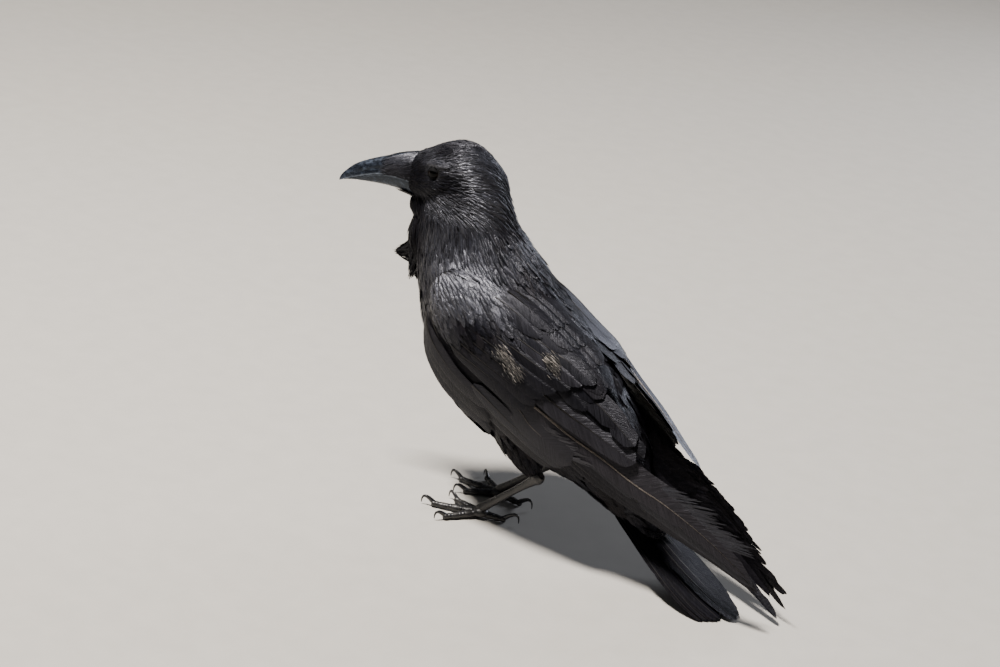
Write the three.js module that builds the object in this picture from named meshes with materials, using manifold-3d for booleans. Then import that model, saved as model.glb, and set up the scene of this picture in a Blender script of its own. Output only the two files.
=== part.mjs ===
// A common raven standing still, life size: trunk, neck, head, bill, eyes, wings, tail, legs, feet and claws.
// Millimetres. The bird faces -X, its left side is -Y and +Z is up from the floor its feet and tail rest on.
import * as THREE from "three";
import { mergeVertices } from "three/addons/utils/BufferGeometryUtils.js";
import Module from "manifold-3d";

const wasm = await Module();
wasm.setup();

// The sizes that drive the bird. The origin here is the floor midway between the feet.
const gap = 0.3;                 // clearance left wherever two pieces meet
const headTurn = 20;             // degrees the head turns to the bird's left
const headPivot = new THREE.Vector3(-68.5, 0, 0);
const eyeRadius = 7.2;
const eyePlace = { forward: 24.8, side: 17.6, height: 298 };
const tailHalfWidth = 26;        // where the folded tail is widest
const tailFeathers = 6;          // edges that show in the folded tail
const primaryFeathers = 5;
const secondaryFeathers = 4;
const covertFeathers = 5;
const toeRadius = 3.6;
const clawRadius = 2.1;

// Trunk and neck, from the top of the neck down to the root of the tail.
// Each row: x, z, reach to the back, reach to the breast, half width.
const spineRows = [
  [-71, 302, 28, 28, 22],
  [-70, 284, 45, 40, 32],
  [-67, 260, 53, 47, 36],
  [-61.5, 238, 58, 53, 39],
  [-49.5, 218, 60, 62, 45],
  [-28.5, 194, 63, 78, 51],
  [2, 164, 67, 88, 55],
  [40, 135, 67, 75, 55],
  [77, 111, 57, 57, 50],
  [110, 88, 43, 35, 40],
  [137, 66, 26, 24, 27],
  [158, 51, 12, 13, 19],
  [173, 41, 4, 5, 11],
];

// The head along its own forward direction: distance, top, bottom, half width.
const headRows = [
  [-36, 292, 280, 8],
  [-31, 303, 269, 18],
  [-23, 312, 262, 24.5],
  [-12, 320, 258, 28.5],
  [1, 324.5, 258, 29],
  [14, 323.5, 260, 27.5],
  [26, 320, 263, 24],
  [37, 314.5, 266, 19.5],
  [46, 309.5, 269, 15],
  [50, 304.5, 274, 11],
];

// The two halves of the bill: distance, ridge height, height of the cutting edge, half width.
const upperBillRows = [
  [43, 308.5, 283, 11],
  [56, 304.6, 284.6, 10],
  [68, 300.6, 284.4, 8.4],
  [80, 296, 282, 6.8],
  [91, 291.2, 278.2, 5.4],
  [100, 286.2, 274.8, 4.1],
  [107, 280.4, 272, 3],
  [112, 275, 269.6, 1.9],
  [114.2, 271, 268.4, 0.8],
];
const lowerBillRows = [
  [43, 283, 268, 10],
  [56, 284.6, 271.2, 9.2],
  [68, 284.4, 272.4, 7.6],
  [80, 282, 272.6, 6],
  [91, 278.2, 272.2, 4.6],
  [100, 274.8, 271.7, 3.2],
  [107, 272, 270.6, 2],
  [110, 270.8, 269.8, 1],
];

// The folded wing on one side. Each row: x, distance from the middle plane, z.
const wingLowerEdge = [
  [-66, 50, 199],
  [-48, 63, 173],
  [-18, 67, 155],
  [24, 66, 139],
  [60, 62, 122],
  [98, 54, 100],
  [143, 47, 81],
  [191, 40, 65],
  [244, 33, 49],
  [297, 23, 25],
];
const wingUpperEdge = [
  [-55, 43, 229],
  [-20, 39, 233],
  [18, 36, 221],
  [58, 33, 200],
  [89, 33, 181],
  [117, 34, 160],
  [149, 37, 135],
  [186, 36, 113],
  [237, 29, 86],
  [299, 22, 42],
];
const wingBulge = [[10], [15], [14], [12], [9], [6], [4], [3], [2], [0.5]];
const wingWrist = [-60, 199];    // x and z a wing turns about
// How the wings differ: degrees lifted about the wrist, millimetres the tip is tucked in over the tail.
const wingPose = { left: { lift: 0, tuck: 0 }, right: { lift: -2.6, tuck: 6 } };
const tuckStart = 0.5;

// The tail, its tips on the floor: x, z, shift to the side and half width as a share of its widest.
const tailRows = [
  [130, 52, 0, 0.64],
  [165, 35.5, -4, 0.82],
  [200, 20, -9, 0.98],
  [230, 8, -12, 1],
  [256, 0.4, -14, 0.92],
];

// The left thigh, down to the ankle: x, y, z, half depth, half width.
const thighRows = [
  [26, -31, 116, 25, 15],
  [32, -29, 98, 22.5, 15],
  [40, -26, 82, 19, 13.5],
  [47, -23, 69, 14.5, 11],
  [52, -22, 60, 9.5, 8],
];
// Where each leg stands: its shift from the left thigh's rows, its ankle, its foot and the foot's turn inwards.
const legs = {
  left: { side: -1, shift: [0, 0], ankle: [57, -22, 58], foot: [4, -24], yaw: -20 },
  right: { side: 1, shift: [-7, 0], ankle: [50, 22, 58], foot: [-6, 21], yaw: 0 },
};

// Toes by their turn from the foot's own forward direction: name, degrees, length, claw length.
const toes = [
  ["middle", 0, 45, 17],
  ["inner", 33, 33, 16],
  ["outer", -36, 35, 15],
  ["hind", 180, 24, 21],
];

// Rows of numbers read smoothly: k = 0 is the first row and k = 1 the last.
function along(rows, k) {
  const place = THREE.MathUtils.clamp(k, 0, 1) * (rows.length - 1);
  const i = Math.min(Math.floor(place), rows.length - 2);
  const t = place - i;
  const before = rows[Math.max(i - 1, 0)];
  const after = rows[Math.min(i + 2, rows.length - 1)];
  return rows[i].map((here, c) => {
    const next = rows[i + 1][c];
    const slopeHere = (next - before[c]) / 2;
    const slopeNext = (after[c] - here) / 2;
    const fall = 2 * here - 2 * next + slopeHere + slopeNext;
    const rise = -3 * here + 3 * next - 2 * slopeHere - slopeNext;
    return ((fall * t + rise) * t + slopeHere) * t + here;
  });
}

// A closed geometry from corner points and triangles, turned so that its faces point out.
function closedGeometry(points, triangles) {
  let sixVolumes = 0;
  for (const [a, b, c] of triangles) {
    sixVolumes += points[a].dot(new THREE.Vector3().crossVectors(points[b], points[c]));
  }
  const facing = sixVolumes < 0 ? triangles.map(([a, b, c]) => [a, c, b]) : triangles;
  const geometry = new THREE.BufferGeometry();
  geometry.setAttribute(
    "position",
    new THREE.Float32BufferAttribute(points.flatMap((p) => [p.x, p.y, p.z]), 3),
  );
  geometry.setIndex(facing.flat());
  return geometry;
}

// A closed body through rings of equal count, each end shut with a fan about its middle.
function loft(rings) {
  const count = rings[0].length;
  const points = rings.flat();
  const triangles = [];
  for (let i = 0; i + 1 < rings.length; i++) {
    for (let j = 0; j < count; j++) {
      const next = (j + 1) % count;
      const a = i * count + j;
      const b = i * count + next;
      triangles.push([a, b, b + count], [a, b + count, a + count]);
    }
  }
  for (const [start, turned] of [[0, true], [(rings.length - 1) * count, false]]) {
    const middle = new THREE.Vector3();
    for (let j = 0; j < count; j++) {
      middle.addScaledVector(points[start + j], 1 / count);
    }
    const centre = points.push(middle) - 1;
    for (let j = 0; j < count; j++) {
      const a = start + j;
      const b = start + (j + 1) % count;
      triangles.push(turned ? [centre, b, a] : [centre, a, b]);
    }
  }
  return closedGeometry(points, triangles);
}

// A closed plate between two grids of points of the same size.
function plate(outer, inner) {
  const rows = outer.length;
  const columns = outer[0].length;
  const points = [...outer.flat(), ...inner.flat()];
  const under = rows * columns;
  const triangles = [];
  const quad = (a, b, c, d) => triangles.push([a, b, c], [a, c, d]);
  for (let i = 0; i + 1 < rows; i++) {
    for (let j = 0; j + 1 < columns; j++) {
      const a = i * columns + j;
      quad(a, a + 1, a + columns + 1, a + columns);
      quad(under + a, under + a + columns, under + a + columns + 1, under + a + 1);
    }
  }
  for (let j = 0; j + 1 < columns; j++) {
    const last = (rows - 1) * columns + j;
    quad(j, under + j, under + j + 1, j + 1);
    quad(last, last + 1, under + last + 1, under + last);
  }
  for (let i = 0; i + 1 < rows; i++) {
    const near = i * columns;
    const far = near + columns - 1;
    quad(near, near + columns, under + near + columns, under + near);
    quad(far, under + far, under + far + columns, far + columns);
  }
  return closedGeometry(points, triangles);
}

function toSolid(geometry) {
  const bare = new THREE.BufferGeometry();
  bare.setAttribute("position", geometry.getAttribute("position"));
  bare.setIndex(geometry.index);
  const merged = mergeVertices(bare, 1e-3);
  return new wasm.Manifold(
    new wasm.Mesh({
      numProp: 3,
      vertProperties: new Float32Array(merged.attributes.position.array),
      triVerts: new Uint32Array(merged.index.array),
    }),
  );
}

function toGeometry(solid) {
  const mesh = solid.getMesh();
  const positions = new Float32Array(mesh.numVert * 3);
  for (let v = 0; v < mesh.numVert; v++) {
    for (let c = 0; c < 3; c++) {
      positions[3 * v + c] = mesh.vertProperties[mesh.numProp * v + c];
    }
  }
  const geometry = new THREE.BufferGeometry();
  geometry.setAttribute("position", new THREE.BufferAttribute(positions, 3));
  geometry.setIndex([...mesh.triVerts]);
  return geometry;
}

const join = (...geometries) =>
  toGeometry(geometries.map(toSolid).reduce((sum, next) => sum.add(next)));
const cutAway = (geometry, ...tools) =>
  toGeometry(tools.map(toSolid).reduce((rest, tool) => rest.subtract(tool), toSolid(geometry)));
const keepInside = (geometry, tool) => toGeometry(toSolid(geometry).intersect(toSolid(tool)));

// A block from one height to another along a direction, wide enough to hold the whole bird.
function slab(origin, direction, from, to) {
  const geometry = new THREE.BoxGeometry(900, 900, to - from);
  const turn = new THREE.Quaternion().setFromUnitVectors(
    new THREE.Vector3(0, 0, 1),
    direction.clone().normalize(),
  );
  geometry.translate(0, 0, (from + to) / 2);
  geometry.applyQuaternion(turn);
  geometry.translate(origin.x, origin.y, origin.z);
  return geometry;
}

// Above the floor, so that whatever rests on it ends in a flat.
const aboveFloor = slab(new THREE.Vector3(), new THREE.Vector3(0, 0, 1), 0, 600);

// Trunk and neck in one body, larger all round by the given amount.
function spineBody(grow) {
  const ringCount = 22;
  const pointCount = 20;
  const rings = [];
  for (let i = 0; i <= ringCount; i++) {
    const k = i / ringCount;
    const [x, z, back, breast, half] = along(spineRows, k);
    const ahead = along(spineRows, k + 0.02);
    const behind = along(spineRows, k - 0.02);
    const along2d = new THREE.Vector2(ahead[0] - behind[0], ahead[1] - behind[1]).normalize();
    const up = new THREE.Vector2(-along2d.y, along2d.x);
    const ring = [];
    for (let j = 0; j < pointCount; j++) {
      const angle = (j / pointCount) * 2 * Math.PI;
      const lift = Math.cos(angle) * ((Math.cos(angle) > 0 ? back : breast) + grow);
      const across = Math.sin(angle) * (half + grow);
      ring.push(new THREE.Vector3(x + up.x * lift, across, z + up.y * lift));
    }
    rings.push(ring);
  }
  return loft(rings);
}

// From the head's own forward, sideways (to the bird's left) and height to the bird's frame.
function fromHead(forward, side, height) {
  const turn = THREE.MathUtils.degToRad(headTurn);
  return new THREE.Vector3(
    headPivot.x - forward * Math.cos(turn) + side * Math.sin(turn),
    headPivot.y - forward * Math.sin(turn) - side * Math.cos(turn),
    height,
  );
}

function headBody(grow) {
  const ringCount = 12;
  const pointCount = 18;
  const rings = [];
  for (let i = 0; i <= ringCount; i++) {
    const [forward, top, bottom, half] = along(headRows, i / ringCount);
    const middle = (top + bottom) / 2;
    const reach = (top - bottom) / 2 + grow;
    const ring = [];
    for (let j = 0; j < pointCount; j++) {
      const angle = (j / pointCount) * 2 * Math.PI;
      ring.push(fromHead(forward, Math.sin(angle) * (half + grow), middle + Math.cos(angle) * reach));
    }
    rings.push(ring);
  }
  return loft(rings);
}

// Half of the bill: flat along its cutting edge, rounded to a ridge on the other side.
function billHalf(rows, ridgeFirst, inset) {
  const ringCount = 11;
  const arcCount = 8;
  const rings = [];
  for (let i = 0; i <= ringCount; i++) {
    const row = along(rows, i / ringCount);
    const half = row[3];
    const ridge = ridgeFirst ? row[1] : row[2];
    const edge = (ridgeFirst ? row[2] : row[1]) + inset;
    const ring = [];
    for (let j = 0; j <= arcCount; j++) {
      const angle = (j / arcCount) * Math.PI;
      const rise = Math.pow(Math.sin(angle), 0.85);
      ring.push(fromHead(row[0], Math.cos(angle) * half, edge + (ridge - edge) * rise));
    }
    rings.push(ring);
  }
  return loft(rings);
}

// An ellipsoid about a place, with its three radii.
function ball(place, radii, around = 10, down = 7) {
  const geometry = new THREE.SphereGeometry(1, around, down);
  geometry.deleteAttribute("normal");
  geometry.deleteAttribute("uv");
  geometry.scale(radii.x, radii.y, radii.z).translate(place.x, place.y, place.z);
  return mergeVertices(geometry, 1e-4);
}

function eyeball(side, radius) {
  const place = fromHead(eyePlace.forward, side * eyePlace.side, eyePlace.height);
  return ball(place, new THREE.Vector3(radius, radius, radius));
}

// A point of the folded wing: s runs from the wrist to the tip, t from the lower to the upper edge.
function wingPoint(side, s, t) {
  const low = along(wingLowerEdge, s);
  const high = along(wingUpperEdge, s);
  const [bulge] = along(wingBulge, s);
  const pose = side < 0 ? wingPose.left : wingPose.right;
  const lift = THREE.MathUtils.degToRad(pose.lift);
  const out = bulge * 4 * t * (1 - t);
  const x = THREE.MathUtils.lerp(low[0], high[0], t);
  const tuck = pose.tuck * THREE.MathUtils.smoothstep(s, tuckStart, 1);
  const y = THREE.MathUtils.lerp(low[1], high[1], t) + out * 0.8 - tuck;
  const z = THREE.MathUtils.lerp(low[2], high[2], t) + out * 0.6;
  const dx = x - wingWrist[0];
  const dz = z - wingWrist[1];
  return new THREE.Vector3(
    wingWrist[0] + dx * Math.cos(lift) - dz * Math.sin(lift),
    side * y,
    wingWrist[1] + dx * Math.sin(lift) + dz * Math.cos(lift),
  );
}

function wingOutward(side, s, t) {
  const step = 0.01;
  const lengthways = wingPoint(side, s + step, t).sub(wingPoint(side, s - step, t));
  const crossways = wingPoint(side, s, t + step).sub(wingPoint(side, s, t - step));
  return lengthways.cross(crossways).multiplyScalar(-side).normalize();
}

// A layer of wing feathers as one plate, its far end scalloped by the feather tips.
// Each feather's edge stands a little over the next.
function wingLayer(side, layer) {
  const { feathers, perFeather, steps, start, tips, tRange, top, thickness, ridge } = layer;
  const columns = feathers * perFeather;
  const outer = [];
  const inner = [];
  for (let i = 0; i <= steps; i++) {
    const k = i / steps;
    const outerRow = [];
    const innerRow = [];
    for (let j = 0; j <= columns; j++) {
      const across = j / columns;
      const feather = Math.min(Math.floor(j / perFeather), feathers - 1);
      const share = j / perFeather - feather;
      const t = THREE.MathUtils.lerp(tRange[0], tRange[1], across);
      const [tip] = along(tips, across);
      const end = tip - layer.scallop * Math.pow(2 * share - 1, 2);
      const s = THREE.MathUtils.lerp(start, end, k);
      const outward = wingOutward(side, s, THREE.MathUtils.clamp(t, 0.05, 0.95));
      const base = wingPoint(side, s, t);
      const raised = top + ridge * share;
      outerRow.push(base.clone().addScaledVector(outward, raised));
      innerRow.push(base.clone().addScaledVector(outward, raised - thickness(k, across)));
    }
    outer.push(outerRow);
    inner.push(innerRow);
  }
  return plate(outer, inner);
}

// Full in the middle of its range and nothing at both edges.
const swell = (k) => Math.sqrt(Math.max(0, 1 - Math.pow(2 * k - 1, 4)));

const shoulderLayer = {
  feathers: covertFeathers,
  perFeather: 3,
  steps: 8,
  start: 0,
  tips: [[0.42], [0.45], [0.5], [0.55], [0.58]],
  tRange: [0, 1],
  scallop: 0.025,
  ridge: 0.5,
  top: 0,
  thickness: (k, across) => 2.2 + 13 * Math.max(0, 1 - k / 0.7) * swell(0.04 + 0.92 * across),
};
const secondaryLayer = {
  feathers: secondaryFeathers,
  perFeather: 3,
  steps: 4,
  start: 0.4,
  tips: [[0.58], [0.61], [0.64], [0.665]],
  tRange: [0.3, 0.98],
  scallop: 0.03,
  ridge: 0.4,
  top: -3.1,
  thickness: (k) => 1.2 + 0.6 * (1 - k),
};
const primaryLayer = {
  feathers: primaryFeathers,
  perFeather: 3,
  steps: 6,
  start: 0.44,
  tips: [[1], [0.995], [0.97], [0.935], [0.88]],
  tRange: [0.02, 0.9],
  scallop: 0.02,
  ridge: 0.35,
  top: -5.7,
  thickness: (k) => 1.1 + 0.9 * (1 - k),
};

// The tail as one plate: rounded feather tips, the middle pair longest, the top slightly roofed.
function tailPlate() {
  const perFeather = 3;
  const columns = tailFeathers * perFeather;
  const steps = 5;
  const outer = [];
  const inner = [];
  for (let i = 0; i <= steps; i++) {
    const outerRow = [];
    const innerRow = [];
    for (let j = 0; j <= columns; j++) {
      const across = (2 * j) / columns - 1;
      const feather = Math.min(Math.floor(j / perFeather), tailFeathers - 1);
      const share = j / perFeather - feather;
      const wedge = 0.14 * across * across;
      const rounding = 0.06 * Math.pow(2 * share - 1, 2);
      const k = (i / steps) * (1 - wedge - rounding);
      const [x, z, shift, spread] = along(tailRows, k);
      const y = shift + across * spread * tailHalfWidth;
      const roof = 2.2 * (1 - across * across) * (1 - 0.9 * k);
      const thickness = THREE.MathUtils.lerp(5, 1.6, k);
      const overlap = 0.5 * (across < 0 ? share : 1 - share) * (1 - k);
      outerRow.push(new THREE.Vector3(x, y, z + roof + overlap + thickness / 2));
      innerRow.push(new THREE.Vector3(x, y, z + roof - thickness / 2));
    }
    outer.push(outerRow);
    inner.push(innerRow);
  }
  return plate(outer, inner);
}

// A round body along a path of points, each with a radius across and a radius in height.
// Every ring is level along the one direction across, so the body doesn't twist.
function limb(path, radii, across, pointCount) {
  const rings = path.map((point, i) => {
    const before = path[Math.max(i - 1, 0)];
    const after = path[Math.min(i + 1, path.length - 1)];
    const direction = after.clone().sub(before).normalize();
    const upward = new THREE.Vector3().crossVectors(direction, across).normalize();
    const [wide, tall] = radii[i];
    return Array.from({ length: pointCount }, (_, j) => {
      const angle = (j / pointCount) * 2 * Math.PI;
      return point.clone()
        .addScaledVector(across, Math.cos(angle) * wide)
        .addScaledVector(upward, Math.sin(angle) * tall);
    });
  });
  return loft(rings);
}

function thigh(leg, grow) {
  const rings = [];
  for (let i = 0; i <= 6; i++) {
    const [x, y, z, depth, width] = along(thighRows, i / 6);
    const ring = [];
    for (let j = 0; j < 14; j++) {
      const angle = (j / 14) * 2 * Math.PI;
      ring.push(new THREE.Vector3(
        x + leg.shift[0] + Math.cos(angle) * (depth + grow),
        -leg.side * y + Math.sin(angle) * (width + grow),
        z - (i === 6 ? grow : 0) + 0.35 * Math.cos(angle) * depth,
      ));
    }
    rings.push(ring);
  }
  return loft(rings);
}

function shank(leg, grow) {
  const ankle = new THREE.Vector3(...leg.ankle);
  const foot = new THREE.Vector3(leg.foot[0], leg.foot[1], 8.5);
  const shares = [-0.07, 0, 0.1, 0.3, 0.6, 0.88, 1, 1.05];
  const sizes = [4.2, 6, 4.6, 3.5, 3.4, 4, 4.6, 3.4];
  const path = shares.map((share) => ankle.clone().lerp(foot, share));
  const across = new THREE.Vector3(0, 1, 0);
  return limb(path, sizes.map((size) => [size * 0.9 + grow, size + grow]), across, 8);
}

// The direction a toe points on the floor.
function toeDirection(leg, degrees) {
  const turn = THREE.MathUtils.degToRad(degrees + leg.yaw);
  return new THREE.Vector3(-Math.cos(turn), -leg.side * Math.sin(turn), 0);
}

function toe(leg, [, degrees, length], grow) {
  const start = new THREE.Vector3(leg.foot[0], leg.foot[1], 0);
  const direction = toeDirection(leg, degrees);
  const shares = [0, 0.25, 0.5, 0.75, 0.95, 1];
  const sizes = [1.25, 1, 0.95, 0.8, 0.85, 0.5];
  const heights = [5.2, 4, 3.1, 2.6, 3, 3.2];
  const path = shares.map((share, i) =>
    start.clone().addScaledVector(direction, share * length).setZ(heights[i]));
  const across = new THREE.Vector3(-direction.y, direction.x, 0);
  return limb(path, sizes.map((size) => [size * toeRadius + grow, size * toeRadius + grow]), across, 6);
}

function footBody(leg, grow) {
  const place = new THREE.Vector3(leg.foot[0], leg.foot[1], 5);
  const pad = ball(place, new THREE.Vector3(8 + grow, 7 + grow, 6.2 + grow), 8, 5);
  const pieces = toes.map((row) => toe(leg, row, grow));
  return keepInside(join(pad, ...pieces), aboveFloor);
}

// A claw that leaves the toe's end, arches up and comes down to a point just over the floor.
function claw(leg, [, degrees, length, clawLength]) {
  const start = new THREE.Vector3(leg.foot[0], leg.foot[1], 0);
  const direction = toeDirection(leg, degrees);
  const path = [];
  const radii = [];
  for (let i = 0; i <= 5; i++) {
    const k = i / 5;
    const bend = k * 1.75;
    const out = length - 3 + clawLength * 0.62 * Math.sin(bend) + k * 2;
    const height = 3.4 + clawLength * 0.33 * Math.sin(k * Math.PI * 0.9) - 3.2 * k * k * k;
    path.push(start.clone().addScaledVector(direction, out).setZ(Math.max(height, 0.6)));
    radii.push([clawRadius * 0.75 * (1 - k * 0.85), clawRadius * (1.15 - k * 0.95)]);
  }
  return limb(path, radii, new THREE.Vector3(-direction.y, direction.x, 0), 5);
}

// Surfaces and colours.
const paint = {
  plumage: [0x17181c, 0.55],
  flight: [0x1c1a1a, 0.6],
  bill: [0x22242a, 0.35],
  eye: [0x0e0a08, 0.1],
  scute: [0x1b1a1a, 0.5],
  claw: [0x161616, 0.3],
};

const raven = new THREE.Group();
raven.name = "raven";

function add(name, geometry, kind) {
  const [colour, roughness] = paint[kind];
  const material = new THREE.MeshStandardMaterial({ color: colour, roughness, metalness: 0 });
  const mesh = new THREE.Mesh(geometry, material);
  mesh.name = name;
  raven.add(mesh);
}

// Trunk, rump, neck and head are one flesh, parted by thin cuts.
const eyes = { left: 1, right: -1 };
const eyeRoom = Object.values(eyes).map((side) => eyeball(side, eyeRadius + gap));
const flesh = cutAway(join(spineBody(0), headBody(0)), ...eyeRoom);
const headCut = [new THREE.Vector3(-68, 0, 268), new THREE.Vector3(-0.25, -0.08, 1)];
const neckCut = [new THREE.Vector3(-50, 0, 218), new THREE.Vector3(-0.62, 0, 0.78)];
const rumpCut = [new THREE.Vector3(116, 0, 84), new THREE.Vector3(-0.77, 0, 0.63)];
const ahead = (cut) => slab(...cut, gap / 2, 500);
const behind = (cut) => slab(...cut, -500, -gap / 2);
add("head", keepInside(flesh, ahead(headCut)), "plumage");
add("neck", keepInside(keepInside(flesh, behind(headCut)), ahead(neckCut)), "plumage");
add("trunk", keepInside(keepInside(flesh, behind(neckCut)), ahead(rumpCut)), "plumage");
add("rump", keepInside(flesh, behind(rumpCut)), "plumage");

// Wings: three layers a side, laid over the trunk.
const spineRoom = spineBody(gap);
for (const [sideName, side] of [["left", -1], ["right", 1]]) {
  for (const [layerName, layer, kind] of [
    ["shoulder", shoulderLayer, "plumage"],
    ["secondaries", secondaryLayer, "flight"],
    ["primaries", primaryLayer, "flight"],
  ]) {
    add(`wing_${sideName}_${layerName}`, cutAway(wingLayer(side, layer), spineRoom), kind);
  }
}

// The hackles that jut from the throat: a low pad and two pointed tufts.
const hackles = {
  pad: [new THREE.Vector3(-106, -9, 228), new THREE.Vector3(9, 15, 19)],
  root: new THREE.Vector3(-108, -10, 230),
  tips: [new THREE.Vector3(-125, -12, 211), new THREE.Vector3(-111, -12, 191)],
};
function throatHackles() {
  const pad = ball(...hackles.pad);
  const tufts = hackles.tips.map((tip) => {
    const path = [0, 0.4, 0.75, 1].map((k) => hackles.root.clone().lerp(tip, k));
    return limb(path, [[7, 6], [6, 5], [3, 2.4], [0.6, 0.5]], new THREE.Vector3(0, 1, 0), 8);
  });
  return join(pad, ...tufts);
}
add("throat_hackles", cutAway(throatHackles(), spineRoom, headBody(gap)), "plumage");

// Bill and eyes.
const headRoom = headBody(gap);
add("bill_upper", cutAway(billHalf(upperBillRows, true, gap / 2), headRoom), "bill");
add("bill_lower", cutAway(billHalf(lowerBillRows, false, -gap / 2), headRoom), "bill");
for (const [sideName, side] of Object.entries(eyes)) {
  add(`eye_${sideName}`, eyeball(side, eyeRadius), "eye");
}

// Tail.
add("tail", keepInside(cutAway(tailPlate(), spineRoom), aboveFloor), "flight");

// Legs, feet and claws.
for (const [sideName, leg] of Object.entries(legs)) {
  const thighRoom = thigh(leg, gap);
  const shankRoom = shank(leg, gap);
  add(`thigh_${sideName}`, cutAway(thigh(leg, 0), spineRoom), "plumage");
  add(`shank_${sideName}`, cutAway(shank(leg, 0), thighRoom), "scute");
  add(`foot_${sideName}`, cutAway(footBody(leg, 0), shankRoom), "scute");
  const footRoom = footBody(leg, gap);
  for (const row of toes) {
    add(`claw_${sideName}_${row[0]}`, cutAway(claw(leg, row), footRoom), "claw");
  }
}

// The frame's origin is the middle of the bird's extent, on the floor.
const extent = new THREE.Box3().setFromObject(raven);
const middle = extent.getCenter(new THREE.Vector3());
for (const mesh of raven.children) {
  mesh.geometry.translate(-middle.x, -middle.y, 0);
}

export default raven;
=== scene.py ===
import itertools
import math

import bpy
import numpy as np
from mathutils import Matrix, Vector
from mathutils.bvhtree import BVHTree


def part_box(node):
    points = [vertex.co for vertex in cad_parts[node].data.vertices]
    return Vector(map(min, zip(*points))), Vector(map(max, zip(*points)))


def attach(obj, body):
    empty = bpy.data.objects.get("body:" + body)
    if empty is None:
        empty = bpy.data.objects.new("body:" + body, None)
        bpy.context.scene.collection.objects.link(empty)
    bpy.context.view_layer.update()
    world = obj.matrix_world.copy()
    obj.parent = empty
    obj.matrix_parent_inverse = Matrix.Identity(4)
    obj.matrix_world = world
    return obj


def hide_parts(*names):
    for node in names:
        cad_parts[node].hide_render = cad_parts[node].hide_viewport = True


# A common raven, life size, standing with folded wings. Sizes are millimetres in the bird's own
# frame: it faces -X, its left side is -Y, +Z is up, and the origin is the floor between its feet.
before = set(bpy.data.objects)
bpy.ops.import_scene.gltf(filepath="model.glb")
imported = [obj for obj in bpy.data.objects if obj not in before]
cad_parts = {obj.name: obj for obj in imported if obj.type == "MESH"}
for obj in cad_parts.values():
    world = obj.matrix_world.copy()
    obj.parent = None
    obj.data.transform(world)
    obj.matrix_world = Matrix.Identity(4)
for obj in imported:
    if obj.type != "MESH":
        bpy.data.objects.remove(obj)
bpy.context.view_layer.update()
chance = np.random.default_rng(41)
fullTurn = 2 * math.pi

head = {
    "turn": math.radians(20),          # to the bird's left
    "pivot": (-68.5, 0.0),
    "eyeRadius": 7.2,
    "eyePlace": (24.8, 17.6, 298.0),   # forward, sideways, height
}


def fromHead(forward, side, height):
    forward, side, height = np.broadcast_arrays(
        np.asarray(forward, float), np.asarray(side, float), np.asarray(height, float))
    c, s = math.cos(head["turn"]), math.sin(head["turn"])
    x = head["pivot"][0] - forward * c + side * s
    y = head["pivot"][1] - forward * s - side * c
    return np.stack([x, y, height], -1)


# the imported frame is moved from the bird's own by the middle of its extent; the left eye tells by how much
eyeLow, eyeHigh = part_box("eye_left")
eyeMiddle = (np.array(eyeLow) + np.array(eyeHigh)) / 2 * 1000
shift = eyeMiddle - fromHead(*head["eyePlace"])
print("frame shift in mm", shift.round(3))


def toFrame(points):
    return (np.asarray(points, float) + shift) / 1000


def unit(vectors):
    return vectors / np.maximum(np.linalg.norm(vectors, axis=-1, keepdims=True), 1e-9)


# the part of some vectors that is square to a direction, at length one
def squareTo(vectors, direction):
    return unit(vectors - direction * (vectors * direction).sum(-1, keepdims=True))


def ease(low, high, value):
    t = np.clip((np.asarray(value, float) - low) / (high - low), 0, 1)
    return t * t * (3 - 2 * t)


# a smooth hump of height 1 about a middle
def hump(value, middle, width):
    return np.exp(-((value - middle) / width) ** 2)


# rows of numbers read smoothly: k = 0 is the first row and k = 1 the last
def along(rows, k):
    rows = np.asarray(rows, float)
    place = np.clip(np.asarray(k, float), 0, 1) * (len(rows) - 1)
    i = np.minimum(place.astype(int), len(rows) - 2)
    t = (place - i)[..., None]
    before, here = rows[np.maximum(i - 1, 0)], rows[i]
    after, further = rows[i + 1], rows[np.minimum(i + 2, len(rows) - 1)]
    slopeHere, slopeNext = (after - before) / 2, (further - here) / 2
    fall = 2 * here - 2 * after + slopeHere + slopeNext
    rise = -3 * here + 3 * after - 2 * slopeHere - slopeNext
    return ((fall * t + rise) * t + slopeHere) * t + here


# even angles round a ring
def roundAngles(count):
    return np.arange(count) / count * fullTurn


# trunk and neck: x, z, reach to the back, reach to the breast, half width
spineRows = [
    [-71, 302, 28, 28, 22], [-70, 284, 45, 40, 32], [-67, 260, 53, 47, 36], [-61.5, 238, 58, 53, 39],
    [-49.5, 218, 60, 62, 45], [-28.5, 194, 63, 78, 51], [2, 164, 67, 88, 55], [40, 135, 67, 75, 55],
    [77, 111, 57, 57, 50], [110, 88, 43, 35, 40], [137, 66, 26, 24, 27], [158, 51, 12, 13, 19],
    [173, 41, 4, 5, 11],
]
# head: forward, top, bottom, half width
headRows = [
    [-36, 292, 280, 8], [-31, 303, 269, 18], [-23, 312, 262, 24.5], [-12, 320, 258, 28.5],
    [1, 324.5, 258, 29], [14, 323.5, 260, 27.5], [26, 320, 263, 24], [37, 314.5, 266, 19.5],
    [46, 309.5, 269, 15], [50, 304.5, 274, 11],
]
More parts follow.
